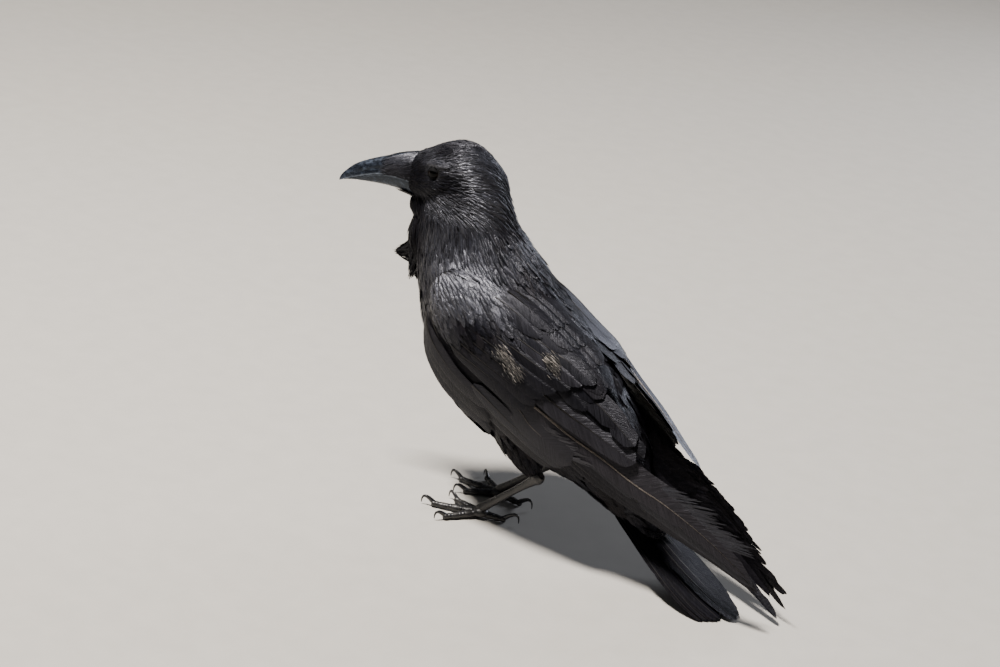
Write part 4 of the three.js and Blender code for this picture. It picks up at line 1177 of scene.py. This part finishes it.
feathers = []
rootX, rootY, rootZ = tailCoverts["root"]
covertPlaces = np.linspace(-tailCoverts["across"], tailCoverts["across"], tailCoverts["count"])
for rise in (-1, 1):
    for reach, stagger in tailCoverts["reach"].items():
        for place in covertPlaces + stagger:
            start = np.array([rootX, rootY + place * 13, rootZ + rise * (8 - 4 * abs(place))])
            middle = tailPoint(0.06, place * 0.8, rise * 5.0 + 1)
            end = tailPoint(reach, place * 0.9, rise * (2.6 if rise > 0 else 1.8) + 1)
            nearStart = start * 0.4 + middle * 0.6 + [0, 0, rise * 1.5]
            line = along(np.array([start, nearStart, middle * 0.55 + end * 0.45, end]), np.linspace(0, 1, 13))
            direction = unit(np.gradient(line, axis=0))
            upward = unit(np.array([0.0, place * 0.5, rise]) - direction * direction[:, 2:3] * rise)
            upward = squareTo(upward, direction)
            half = tailCoverts["half"]
            feathers.append((line, upward, unit(np.cross(direction, upward)), half, half, lookOf(1, 0.0, 0.0),
                             tailCoverts["shape"]))
stack = tail["order"]
firstOff, nextOff = stack["floor"]
for number, (place, tip, outer, inner, extend) in enumerate(tail["feathers"]):
    k = np.linspace(0.02, tip, 25)
    atRoot, more = tail["spread"]["left" if place < 0.3 else "right"]
    order = number % 6
    height = stack["each"] * order + stack["first"] - stack["fall"] * k + stack["atRoot"] * order * (1 - k)
    line = tailPoint(k, place * (atRoot + more * k), np.maximum(height, stack["lowest"]))
    line[:, 0] += extend * k ** 3
    line[:, 2] = np.maximum(line[:, 2], firstOff + nextOff * order)
    direction = unit(np.gradient(line, axis=0))
    upward = squareTo(np.array([0.0, 0, 1]), direction)
    across = unit(np.cross(direction, upward))
    # the outer web is the one away from the tail's middle
    outerIsHigh = (across[:, 1] * place).sum() > 0
    low, high = (inner, outer) if outerIsHigh else (outer, inner)
    feathers.append((line, upward, across, low, high, lookOf(1, 0.12, 0.03), tail["shape"]))
tailPiece = makeFlight("tail_feathers", feathers)
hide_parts("tail")

# Throat hackles: lance-shaped feathers that fall from the throat and gather into points.
hackles = {
    "count": 460, "length": 34.0, "from": ((-122.0, -30, 206), (-94.0, 16, 250)),
    "tips": [(-127, -13, 211), (-107.5, -13, 190), (-104, -4, 200)], "gather": (1.0, 1.6, 1.6),
    "frontBand": (211, 229), "frontShare": 0.6, "half": (1.0, 1.9), "steps": 6, "spread": (0.75, 1.25),
    # feathers nearer their tip than this stop short of it by these shares; then how a midline bows out
    "near": 40, "short": (0.72, 1.0), "bow": 0.12, "bowOut": (0.5, 2.5),
    "shape": {"rows": 8, "columns": 6, "shape": "lance", "fray": 0.05, "tipRound": 0.12, "arch": 0.4,
              "ridge": 0.15},
}
count = hackles["count"]
low, high = np.array(hackles["from"])
spots, normals, hackleUv = onSkin(low + chance.random((count, 3)) * (high - low))
lie = lieOfCoat(spots, normals)
lowest, highest = hackles["frontBand"]
toFront = (spots[:, 2] < highest) & (spots[:, 2] > lowest) & (chance.random(count) < hackles["frontShare"])
pull = np.where(toFront, 0, chance.choice([1, 2], count))
target = np.array(hackles["tips"], float)[pull]
target = target + chance.standard_normal((count, 3)) * np.array(hackles["gather"])
gap = target - spots
distance = np.linalg.norm(gap, axis=1)
reach = np.minimum(distance, hackles["length"] * chance.uniform(*hackles["spread"], count))
reach = np.where(distance < hackles["near"], distance * chance.uniform(*hackles["short"], count), reach)
ends = spots + gap * (reach / distance)[:, None]
middle = (spots * 0.5 + ends * 0.5 + lie * (reach * hackles["bow"])[:, None]
          + normals * chance.uniform(*hackles["bowOut"], count)[:, None])
k = np.linspace(0, 1, hackles["steps"])[None, :, None]
lines = (1 - k) ** 2 * spots[:, None] + 2 * k * (1 - k) * middle[:, None] + k ** 2 * ends[:, None]
direction = unit(np.gradient(lines, axis=1))
ups = squareTo(unit(np.repeat(normals[:, None], hackles["steps"], 1) + np.array([-0.3, 0, 0.2])), direction)
half = chance.uniform(*hackles["half"], count) * np.where(toFront, 0.8, 1.0)
hackleLook = lookOf(count, 0.05, 0.08)
# only the hackles gathered to the last point keep a faint painted sheen
hackleLook[:, 2] = np.where(pull == 2, hackleLook[:, 2], 0)
makeCoat("coat_throat_hackles", [
    (lines, ups, unit(np.cross(direction, ups)), half, reach, hackleUv, hackleLook, hackles["shape"]),
], bodyFeather)

# Bristles: stiff forward-pointing feathers over the nostrils, at the gape and under the chin. Each group: its
# half of the bill, how many, mm forward and angle round the bill, lengths, drop, half widths, painted sheen.
bristles = {
    "nasal": (upperBillRows, 420, (44, 55), (0.15, 1.42), (13, 26), 0.38, (0.35, 0.75), 0.75),
    "gape": (upperBillRows, 90, (44, 50), (0.0, 0.5), (8, 15), 0.2, (0.3, 0.55), 0.2),
    "chin": (lowerBillRows, 130, (43, 50), (0.85, 1.57), (7, 13), 0.0, (0.35, 0.7), 0.1),
}
bristleShape = {"rows": 5, "columns": 2, "shape": "lance", "fray": 0.0, "tipRound": 0.1, "arch": 0.5,
                "ridge": 0.0}


def billSurface(rows, forward, angle, out):
    row = along(rows, np.interp(forward, np.array(rows)[:, 0], np.linspace(0, 1, len(rows))))
    ridge, edge = (row[..., 1], row[..., 2]) if rows is upperBillRows else (row[..., 2], row[..., 1])
    height = edge + np.sign(ridge - edge) * (np.abs(ridge - edge) + out) * np.abs(np.sin(angle)) ** 0.85
    return fromHead(row[..., 0], np.cos(angle) * (row[..., 3] + out), height)


def billBristles(rows, count, forward, angles, lengths, drop, width, glossAndPaintedSheen):
    start = chance.uniform(*forward, count)
    angle = chance.uniform(*angles, count)
    flip = chance.random(count) < 0.5
    length = chance.uniform(*lengths, count)
    shares = np.linspace(0, 1, 6)
    line = []
    for share in shares:
        turned = angle - drop * share * (1 + 0.3 * np.sin(start * 9))
        turned = np.where(flip, math.pi - turned, turned)
        line.append(billSurface(rows, start + length * share, turned, 0.5 + 1.05 * np.sin(share * 2.6)))
    line = np.stack(line, 1)
    axis = fromHead(start[:, None] + length[:, None] * shares, 0, 286)
    direction = unit(np.gradient(line, axis=1))
    upward = squareTo(unit(line - axis), direction)
    _, _, uv = onSkin(line[:, 0])
    half = chance.uniform(*width, count)
    look = lookOf(count, 0.05, glossAndPaintedSheen)
    # bristles higher round the bill keep their painted sheen: the top ones lit, the lower ones dark
    look[:, 2] *= np.clip((angle - 0.45) / 0.5, 0.2, 1)
    return (line, upward, unit(np.cross(direction, upward)), half, length, uv, look, bristleShape)


makeCoat("coat_bristles", [billBristles(*group) for group in bristles.values()], bodyFeather)

# Down that shows in two gaps of the near wing's coverts: short pale loose barbs. A patch: from, to, how many.
down = {
    "patches": [((0.290, 0.44), (0.360, 0.36), 330), ((0.372, 0.77), (0.420, 0.72), 260)],
    "spread": (0.006, 0.035), "length": (3, 8), "half": (0.10, 0.22), "steps": 5, "depth": 1.4, "rise": 2.6,
    "shape": {"rows": 4, "columns": 2, "shape": "bristle", "fray": 0.0, "tipRound": 0.1, "arch": 0.6,
              "ridge": 0.0},
}
batches = []
for first, last, count in down["patches"]:
    share = chance.random(count)
    s = first[0] + (last[0] - first[0]) * share + down["spread"][0] * chance.standard_normal(count)
    t = first[1] + (last[1] - first[1]) * share + down["spread"][1] * chance.standard_normal(count)
    out = wingOutward(-1, s, t)
    root = wingPoint(-1, s, t) - out * down["depth"]
    forward = unit(wingPoint(-1, s + 0.02, t) - root)
    upward = unit(wingPoint(-1, s, t + 0.02) - root)
    length = chance.uniform(*down["length"], count)
    bend = chance.normal(0.0, 0.10, count)
    arc = down["rise"] * chance.uniform(0.5, 1.1, count)
    line = np.stack([
        root + forward * (length * k)[:, None] + upward * (length * bend * k * k)[:, None]
        + out * (arc * math.sin(k * 1.9))[:, None] for k in np.linspace(0, 1, down["steps"])], 1)
    ups = unit(np.repeat(out[:, None], down["steps"], 1))
    across = unit(np.cross(unit(np.gradient(line, axis=1)), ups))
    half = chance.uniform(*down["half"], count)
    _, _, uv = onSkin(root)
    batches.append((line, ups, across, half, length, uv, lookOf(count, 0.5, 0.5), down["shape"]))
makeCoat("coat_down_tufts", batches, downBarb)
print("feathers made")

# Eyes: dark brown iris, black pupil, clear wet surface. The map's X is the share out from the pupil's middle.
def irisMaterial():
    material, tree, shader = newMaterial("raven iris and pupil", {
        "Roughness": 0.08, "IOR": 1.25, "Specular IOR Level": 0.28})
    eyeMap = node(tree, "ShaderNodeUVMap", {"uv_map": "Vane"})
    parts = node(tree, "ShaderNodeSeparateXYZ", links={0: eyeMap})
    fibres = node(tree, "ShaderNodeTexNoise", inputs={"Scale": 14.0, "Detail": 3.0}, links={"Vector": eyeMap})
    wobble = node(tree, "ShaderNodeMath", {"operation": "MULTIPLY_ADD"}, {1: 0.03, 2: -0.015}, {0: fibres})
    radius = node(tree, "ShaderNodeMath", {"operation": "ADD"}, links={0: parts, 1: wobble})
    colour = node(tree, "ShaderNodeValToRGB", {"stops": [
        (0.0, "#020202"), (0.22, "#030303"), (0.25, "#1c110c"), (0.42, "#140c09"), (0.5, "#030303")]},
        links={0: radius})
    connect(tree, shader, {"Base Color": colour})
    return material


eyeGlass = irisMaterial()
# Lid skin: bare dark grey skin round the eye, matt, finely wrinkled.
lidSkin = grainyMaterial("eyelid skin", {"Roughness": 0.75, "IOR": 1.25, "Specular IOR Level": 0.3},
                         (1500.0, 3.0), [(0.3, "#050506"), (0.7, "#0c0c0e")], relief=(0.5, 0.0003))

# the eyes, in shares of the ball but for the sizes in mm; a lid's profile is (share in from its base, mm out)
eyes = {
    "radius": head["eyeRadius"] - 0.7, "sunk": 1.4, "bulge": 0.05, "rows": 40, "around": 48, "lidPoints": 72,
    "open": (0.70, 0.34, 0.44), "slant": 0.05, "base": 0.985,
    "lid": [(0.0, 0.1), (0.25, 0.3), (0.5, 0.4), (0.72, 0.42), (0.86, 0.55), (0.95, 0.6), (1.0, 0.4),
            (1.0, 0.05), (0.9, -0.6), (0.0, -0.9)],
}


def makeEyeball(sideName, middle, gaze, aside, upward):
    polar, turn = (np.arange(eyes["rows"]) + 0.5) / eyes["rows"] * math.pi, roundAngles(eyes["around"])
    # the clear front stands out a little from the ball
    radius = eyes["radius"] * (1 + eyes["bulge"] * hump(polar, 0, 0.55))
    ring = aside * np.cos(turn)[:, None] + upward * np.sin(turn)[:, None]
    ahead, out = (np.cos(polar) * radius)[:, None, None], (np.sin(polar) * radius)[:, None, None]
    piece = makeMesh(f"eyeball_{sideName}", *loftRings(middle + gaze * ahead + ring[None] * out), [eyeGlass])
    a, k = loftPlaces(eyes["rows"], eyes["around"], polar / math.pi)
    addMap(piece, "OFBake", np.stack([a, k], -1))
    addMap(piece, "Vane", np.stack([k * 1.35, a], -1))
    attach(piece, "root")
    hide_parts(f"eye_{sideName}")


# lids: a shell of skin over the ball with an almond opening, thicker at its rim
def makeLids(sideName, middle, gaze, aside, upward):
    count, profile = eyes["lidPoints"], eyes["lid"]
    loop = roundAngles(count)
    wideOpen, above, below = eyes["open"]
    openWide = wideOpen * np.cos(loop)
    openTall = np.where(np.sin(loop) > 0, above, below) * np.sin(loop) - eyes["slant"] * np.cos(loop)
    baseWide, baseTall = eyes["base"] * np.cos(loop), eyes["base"] * np.sin(loop)
    rings = []
    for share, stand in profile:
        wide = baseWide + (openWide - baseWide) * share
        tall = baseTall + (openTall - baseTall) * share
        depth = np.sqrt(np.maximum(1 - wide ** 2 - tall ** 2, 0.02))
        way = aside * wide[:, None] + upward * tall[:, None] + gaze * depth[:, None]
        rings.append(middle + way * (eyes["radius"] + stand))
    grid = np.arange(len(profile) * count).reshape(len(profile), count)
    further, turned = np.roll(grid, -1, 0), np.roll(grid, -1, 1)
    quads = np.stack([grid, turned, np.roll(turned, -1, 0), further], -1).reshape(-1, 4)
    lid = makeMesh(f"eyelid_{sideName}", *outward(np.concatenate(rings), [quads]), [lidSkin])
    i, j = np.divmod(np.arange(grid.size), count)
    addMap(lid, "OFBake", np.stack([i / len(profile), j / count], -1))
    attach(lid, "root")


for sign, sideName in ((1, "left"), (-1, "right")):
    forward, aside, height = head["eyePlace"]
    gaze = unit(fromHead(30, sign * 60, height) - fromHead(forward, 0, height))
    upward = unit(np.array([0.0, 0, 1]) - gaze * gaze[2])
    middle = fromHead(forward, sign * aside, height) - gaze * eyes["sunk"]
    makeEyeball(sideName, middle, gaze, np.cross(upward, gaze), upward)
    makeLids(sideName, middle, gaze, np.cross(upward, gaze), upward)


# Bill horn: dense black keratin, slate where light grazes it, with fine lines along it, and paler towards the
# cutting edges, partly wear and partly a painted highlight.
def billMaterial():
    material, tree, shader = newMaterial("bill horn", {"IOR": 1.54, "Specular Tint": linear("#c3cfe0")})
    stretch = node(tree, "ShaderNodeMapping", inputs={"Scale": (160.0, 9.0, 1.0)},
                   links={"Vector": node(tree, "ShaderNodeUVMap", {"uv_map": "OFBake"})})
    lines = node(tree, "ShaderNodeTexNoise", inputs={"Scale": 1.0, "Detail": 4.0, "Roughness": 0.6},
                 links={"Vector": stretch})
    coords = node(tree, "ShaderNodeTexCoord")
    scuff = node(tree, "ShaderNodeTexNoise", inputs={"Scale": 260.0, "Detail": 4.0},
                 links={"Vector": coords.outputs["Object"]})
    mixed = node(tree, "ShaderNodeMix", {"data_type": "FLOAT"}, {"Factor": 0.5}, {2: lines, 3: scuff})
    # X of the map "Vane" is 0 at the cutting edge; the horn is painted paler towards it, for wear and a
    # painted highlight along the edge
    rims = node(tree, "ShaderNodeSeparateXYZ", links={0: node(tree, "ShaderNodeUVMap", {"uv_map": "Vane"})})
    edgeWearAndHighlight = node(tree, "ShaderNodeMapRange", inputs={
        "From Min": 0.03, "From Max": 0.16, "To Min": 0.85, "To Max": 0.0}, links={"Value": rims})
    horn, wornAndHighlitEdgeHorn, gloss = (
        node(tree, "ShaderNodeValToRGB", {"stops": stops}, links={0: mixed}) for stops in (
            [(0.34, "#08090b"), (0.52, "#1a1e26"), (0.68, "#4f5868")],
            [(0.35, "#1c1f24"), (0.68, "#8a93a1")], [(0.35, 0.2), (0.7, 0.42)]))
    blend = node(tree, "ShaderNodeMix", {"data_type": "RGBA"},
                 links={"Factor": edgeWearAndHighlight, 6: horn, 7: wornAndHighlitEdgeHorn})
    bump = node(tree, "ShaderNodeBump", inputs={"Strength": 0.35, "Distance": 0.0005},
                links={"Height": mixed})
    connect(tree, shader, {"Base Color": blend.outputs[2], "Roughness": gloss, "Normal": bump})
    return material


billHorn = billMaterial()
bill = {"rows": 90, "around": 33, "inside": 17, "round": 0.85, "ridge": 0.5, "trough": 0.10, "rim": 0.05,
        "lowerWidth": 0.93, "gapTip": {"upper": 0.2, "lower": -0.6}}


# the outer shell, then its inner face back to the start, as one closed ring at each row
def billHalf(half, rows):
    k = np.linspace(0, 1, bill["rows"])
    row = along(rows, k)
    forward, top, low, width = (row[:, n:n + 1] for n in range(4))
    far, edge = (top, low) if half == "upper" else (low, top)
    turn = np.linspace(0, math.pi, bill["around"])
    rise = np.sin(turn) ** bill["round"]
    edge = edge + bill["gapTip"][half] * ease(112, 104, forward)
    side = np.cos(turn) * width
    height = edge + (far - edge) * rise
    if half == "upper":
        # a shallow trough above the cutting edge, and the ridge along the top
        trough = hump(rise, 0.36, 0.16) * ease(52, 62, forward) * ease(108, 90, forward)
        rim = hump(rise, 0.12, 0.09) * ease(46, 56, forward) * ease(110, 96, forward)
        side = side * (1 - bill["trough"] * trough + bill["rim"] * rim)
        height = height + bill["ridge"] * hump(turn, math.pi / 2, 0.16) * ease(114, 100, forward)
    else:
        side = side * (bill["lowerWidth"] - 0.04 * hump(rise, 0.5, 0.2))
    inner = np.linspace(math.pi, 0, bill["inside"])[1:-1]
    side = np.concatenate([side, np.cos(inner) * width * 0.96], 1)
    height = np.concatenate([height, edge + (far - edge) * 0.12 * np.sin(inner)], 1)
    rings = fromHead(forward, side, height)
    piece = makeMesh(f"bill_{half}_horn", *loftRings(rings), [billHorn])
    a, share = loftPlaces(len(k), rings.shape[1])
    fromEdge = np.concatenate([np.tile(np.concatenate([rise, np.zeros(len(inner))]), len(k)), [0.5, 0.5]])
    addMap(piece, "OFBake", np.stack([a, share], -1))
    addMap(piece, "Vane", np.stack([fromEdge, share], -1))
    piece.data.set_sharp_from_angle(angle=math.radians(50))
    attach(piece, "root")
    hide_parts(f"bill_{half}")


billHalf("upper", upperBillRows)
billHalf("lower", lowerBillRows)
print("head parts made")


# Leg skin: black and scaly, slightly glossy, with paler dust in the joints between scales 1.5 to 2.5 mm wide.
def legMaterial():
    material, tree, shader = newMaterial("leg scales", {"IOR": 1.5})
    place = node(tree, "ShaderNodeTexCoord").outputs["Object"]
    cells = node(tree, "ShaderNodeTexVoronoi", {"feature": "DISTANCE_TO_EDGE"}, {"Scale": 520.0},
                 {"Vector": place})
    grains = node(tree, "ShaderNodeTexNoise", inputs={"Scale": 1200.0, "Detail": 3.0},
                  links={"Vector": place})
    colour = node(tree, "ShaderNodeValToRGB", {"stops": [
        (0.0, "#3a3733"), (0.08, "#17171a"), (0.4, "#101013")]}, links={0: cells})
    gloss = node(tree, "ShaderNodeValToRGB", {"stops": [(0.35, 0.34), (0.7, 0.52)]}, links={0: grains})
    bump = node(tree, "ShaderNodeBump", inputs={"Strength": 0.6, "Distance": 0.0004}, links={"Height": cells})
    connect(tree, shader, {"Base Color": colour, "Roughness": gloss, "Normal": bump})
    return material


legSkin = legMaterial()
# Scute horn: smooth overlapping plates on the front of the shank and the top of the toes.
scuteHorn = grainyMaterial("scute horn", {"IOR": 1.54}, (700.0, 4.0), [(0.3, "#121215"), (0.7, "#2c2c31")],
                           rough=[(0.35, 0.26), (0.7, 0.45)])
# Claw horn: black, smooth and glossy, with fine growth lines.
clawHorn = grainyMaterial("claw horn", {"IOR": 1.54}, (1.0, 3.0), [(0.3, "#08080a"), (0.75, "#26262b")],
                          rough=[(0.3, 0.2), (0.7, 0.36)], stretch=(60.0, 6.0, 1.0))


# Scutes: one half-round plate, scattered over points that carry its turn and size.
def plateShape():
    turn = roundAngles(10)
    rings = []
    for k in (0.0, 0.35, 0.75, 1.0):
        reach, height = 1 - 0.8 * k ** 2, np.full(len(turn), 0.34 * k - 0.1)
        rings.append(np.stack([np.cos(turn) * reach, np.sin(turn) * reach * 0.9, height], -1))
    body, faces = loftRings(np.array(rings))
    mesh = bpy.data.meshes.new("scutePlate")
    mesh.from_pydata((body / 1000).tolist(), [], [face for group in faces for face in group.tolist()])
    makeSmooth(mesh)
    return bpy.data.objects.new("scutePlate", mesh)


def scatterTree():
    tree = bpy.data.node_groups.new("scatter scutes", "GeometryNodeTree")
    tree.interface.new_socket("Geometry", in_out="INPUT", socket_type="NodeSocketGeometry")
    for label, kind in (("Shape", "Object"), ("Size", "Float"), ("Unevenness", "Float"),
                        ("Finish", "Material")):
        tree.interface.new_socket(label, in_out="INPUT", socket_type="NodeSocket" + kind)
    tree.interface.new_socket("Geometry", in_out="OUTPUT", socket_type="NodeSocketGeometry")
    given = node(tree, "NodeGroupInput").outputs
    plate = node(tree, "GeometryNodeObjectInfo", links={"Object": given["Shape"]})
    turn = node(tree, "GeometryNodeInputNamedAttribute", {"data_type": "QUATERNION"}, {"Name": "turn"})
    size = node(tree, "GeometryNodeInputNamedAttribute", {"data_type": "FLOAT_VECTOR"}, {"Name": "size"})
    change = node(tree, "FunctionNodeRandomValue", {"data_type": "FLOAT"}, {"Seed": 7})
    span = node(tree, "ShaderNodeMath", {"operation": "MULTIPLY_ADD"}, {2: 1.0},
                {0: change.outputs[1], 1: given["Unevenness"]})
    grow = node(tree, "ShaderNodeMath", {"operation": "MULTIPLY"}, links={0: span, 1: given["Size"]})
    scale = node(tree, "ShaderNodeVectorMath", {"operation": "SCALE"},
                 links={0: size.outputs["Attribute"], "Scale": grow})
    scatter = node(tree, "GeometryNodeInstanceOnPoints", links={
        "Points": given["Geometry"], "Instance": plate.outputs["Geometry"],
        "Rotation": turn.outputs["Attribute"], "Scale": scale})
    real = node(tree, "GeometryNodeRealizeInstances", links={"Geometry": scatter})
    finish = node(tree, "GeometryNodeSetMaterial", links={"Geometry": real, "Material": given["Finish"]})
    node(tree, "NodeGroupOutput", links={0: finish})
    return tree


scutes = {"size": 1.0, "unevenness": 0.12, "shankStep": 3.4, "toeStep": 3.2, "overlap": 0.78}
scuteTree, scutePlate = scatterTree(), plateShape()


# places is a list of (point, axes, size)
def makeScutes(name, places):
    mesh = bpy.data.meshes.new(name + "Points")
    mesh.from_pydata([tuple(p) for p in toFrame([point for point, _, _ in places])], [], [])
    turns = [Matrix(np.array(axes).T.tolist()).to_quaternion()[:] for _, axes, _ in places]
    attribute = mesh.attributes.new("turn", "QUATERNION", "POINT")
    attribute.data.foreach_set("value", np.array(turns, np.float32).ravel())
    attribute = mesh.attributes.new("size", "FLOAT_VECTOR", "POINT")
    attribute.data.foreach_set("vector", np.array([size for _, _, size in places], np.float32).ravel())
    base = addObject(name + "Base", mesh)
    modifier = base.modifiers.new("scatter", "NODES")
    modifier.node_group = scuteTree
    named = {item.name: item.identifier for item in scuteTree.interface.items_tree if item.in_out == "INPUT"}
    modifier[named["Shape"]] = scutePlate
    modifier[named["Size"]] = scutes["size"]
    modifier[named["Unevenness"]] = scutes["unevenness"]
    modifier[named["Finish"]] = scuteHorn
    piece = settle(base, name)
    unwrap(piece, 70, 0.004)
    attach(piece, "root")


shankRows = {"shares": [-0.07, 0, 0.1, 0.3, 0.6, 0.88, 1, 1.05],
             "radii": [4.2, 6, 4.6, 3.5, 3.4, 4, 4.6, 3.4], "depth": 0.88, "voxel": 0.75}
foot = {
    "toeRadius": 3.6, "ankleHeight": 8.5, "voxel": 0.75, "floorGap": 0.02, "pad": (8, 7, 5.0),
    "padHeight": 5.4,
    # along a toe: share of length, width as a share of the toe's radius, mm up to its middle
    "toeRows": [[0, 1.25, 5.2], [0.25, 1, 4.0], [0.5, 0.95, 3.6], [0.75, 0.8, 3.1], [0.95, 0.85, 3.1],
                [1, 0.5, 3.2]],
    "pads": {"middle": 4, "inner": 3, "outer": 3, "hind": 3}, "padSwell": 0.10,
}
claw = {"rows": 26, "around": 20, "width": 1.654, "height": 2.1, "base": 3.4, "inToe": 3.0,
        "reach": 0.62, "rise": 0.33}
upright = np.array([0, 0, 1.0])


def offFloor(body):
    body[:, 2] = np.maximum(body[:, 2], foot["floorGap"])


def toeDirection(leg, degrees):
    angle = math.radians(degrees + leg["yaw"])
    return np.array([-math.cos(angle), -leg["side"] * math.sin(angle), 0.0])


def makeShank(sideName, ankle, sole):
    rows = np.stack([shankRows["shares"], shankRows["radii"]], -1)
    share, radius = along(rows, np.linspace(0, 1, 40)).T
    path = ankle + (sole - ankle) * share[:, None]
    downwards = unit(sole - ankle)
    across = unit(np.cross(downwards, upright))
    body = loftRings(limbRings(path, radius * shankRows["depth"], radius, across, 28))
    shank = oneSurface(f"shank_{sideName}_skin", [body], legSkin, shankRows["voxel"], 2)
    unwrap(shank, 70, 0.004)
    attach(shank, "root")
    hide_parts(f"shank_{sideName}")
    # scutes down the front of the shank, overlapping towards the toes
    front = np.cross(across, downwards)
    length, step = np.linalg.norm(sole - ankle), scutes["shankStep"]
    places = []
    for n in range(int(length * 0.98 / step)):
        share = 0.02 + n * step / length
        radius = np.interp(share, shankRows["shares"], shankRows["radii"])
        places.append((ankle + (sole - ankle) * share + front * radius * 0.62, [across, downwards, front],
                       [radius * 0.80, step * scutes["overlap"], radius * 1.25]))
    return places


def makeToe(leg, ground, toeName, degrees, length):
    direction = toeDirection(leg, degrees)
    level = np.array([-direction[1], direction[0], 0.0])
    row = along(foot["toeRows"], np.linspace(0, 1, 30))
    share, wide = row[:, 0], row[:, 1] * foot["toeRadius"]
    height = np.maximum(row[:, 2], wide * 0.86)
    # pads swell between the joints
    swell = 1 + foot["padSwell"] * np.cos(share * fullTurn * foot["pads"][toeName])
    path = ground + direction * (share * length)[:, None] + upright * height[:, None]
    body = loftRings(limbRings(path, wide * swell, wide * 0.9 * swell, level, 22))
    places = []
    for n in range(int(length * 0.86 / scutes["toeStep"])):
        at = 0.1 + n * scutes["toeStep"] / length
        radius = np.interp(at, share, wide)
        top = np.interp(at, share, height) + radius * 0.60
        places.append((ground + direction * at * length + upright * top,
                       [np.cross(direction, upright), direction, upright],
                       [radius * 0.86, scutes["toeStep"] * scutes["overlap"], radius * 1.2]))
    return body, places


def makeClaw(name, leg, ground, degrees, length, clawLength):
    direction = toeDirection(leg, degrees)
    level = np.array([-direction[1], direction[0], 0.0])
    k = np.linspace(0, 1, claw["rows"])
    out = length - claw["inToe"] + clawLength * claw["reach"] * np.sin(1.75 * k) + 2 * k
    rise = claw["base"] + clawLength * claw["rise"] * np.sin(0.9 * math.pi * k) - 3.2 * k ** 3
    path = ground + direction * out[:, None] + upright * np.maximum(rise, 0.6)[:, None]
    wide, tall = claw["width"] * (1 - 0.85 * k), claw["height"] * (1.15 - 0.95 * k)
    body, faces = loftRings(limbRings(path, wide, tall, level, claw["around"]))
    offFloor(body)
    piece = makeMesh(f"{name}_horn", body, faces, [clawHorn])
    addMap(piece, "OFBake", np.stack(loftPlaces(claw["rows"], claw["around"]), -1))
    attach(piece, "root")
    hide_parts(name)


for sideName, leg in legs.items():
    ankle = np.array(leg["ankle"], float)
    ground = np.array([*leg["foot"], 0.0])
    places = makeShank(sideName, ankle, ground + upright * foot["ankleHeight"])
    toeBodies = [roundBody(ground + upright * foot["padHeight"], foot["pad"])]
    for toeName, (degrees, length, clawLength) in toes.items():
        body, toePlaces = makeToe(leg, ground, toeName, degrees, length)
        toeBodies.append(body)
        places += toePlaces
        makeClaw(f"claw_{sideName}_{toeName}", leg, ground, degrees, length, clawLength)
    for body, _ in toeBodies:
        offFloor(body)
    footPiece = oneSurface(f"foot_{sideName}_skin", toeBodies, legSkin, foot["voxel"], 2)
    unwrap(footPiece, 70, 0.004)
    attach(footPiece, "root")
    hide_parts(f"foot_{sideName}")
    makeScutes(f"scutes_{sideName}", places)
print("legs made")

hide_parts("head", "neck", "trunk", "rump", "thigh_left", "thigh_right",
            "wing_left_shoulder", "wing_right_shoulder", "throat_hackles")
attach(skinPiece, "root")

# The camera stands low behind the bird's left shoulder and looks down on it a little.
camera = {"place": (939.768, -1527.340, 892.462), "back": (0.49133, -0.78630, 0.37461),
          "right": (0.81488, 0.56685, 0.12102), "up": (-0.30751, 0.24580, 0.91925), "lens": 80.0}
cameraData = bpy.data.cameras.new("camera")
cameraData.lens, cameraData.sensor_width, cameraData.clip_end = camera["lens"], 36.0, 60
cameraPiece = addObject("camera", cameraData)
axes = Matrix((camera["right"], camera["up"], camera["back"])).transposed().to_4x4()
axes.translation = Vector(toFrame(camera["place"]))
cameraPiece.matrix_world = axes
bpy.context.scene.camera = cameraPiece

# Plain painted backdrop board, matt and even.
floorPaint = grainyMaterial("painted backdrop board", {"Roughness": 0.9}, (40.0, 2.0),
                            [(0.3, "#b3b0aa"), (0.7, "#b7b4ae")])
floorHalf = 20      # metres
floorMesh = bpy.data.meshes.new("floor")
corners = [(x * floorHalf, y * floorHalf, 0) for x, y in ((-1, -1), (1, -1), (1, 1), (-1, 1))]
floorMesh.from_pydata(corners, [], [(0, 1, 2, 3)])
floorMesh.materials.append(floorPaint)
addObject("floor", floorMesh)

lights = {
    "key": {"place": (-0.75, -0.6, 2.7), "size": 0.4, "power": 225, "colour": "#fff8f0"},
    "back": {"place": (0.7, 2.4, 0.95), "size": 1.0, "power": 36, "colour": "#eef3ff"},
    "fill": {"place": (-1.6, -2.4, 1.9), "size": 1.6, "power": 2, "colour": "#f2f5ff"},
}
aim = Vector((0, 0, 0.17))
for lightName, settings in lights.items():
    data = bpy.data.lights.new(lightName, "AREA")
    data.shape, data.size, data.energy = "DISK", settings["size"], settings["power"]
    data.color = linear(settings["colour"])[:3]
    lamp = addObject(lightName, data)
    lamp.location = settings["place"]
    lamp.rotation_euler = (Vector(settings["place"]) - aim).to_track_quat("Z", "Y").to_euler()
world = bpy.data.worlds.new("studio air")
world.use_nodes = True
bpy.context.scene.world = world
air = next(n for n in world.node_tree.nodes if n.type == "BACKGROUND")
air.inputs["Color"].default_value = linear("#e9ecf2")
air.inputs["Strength"].default_value = 0.07
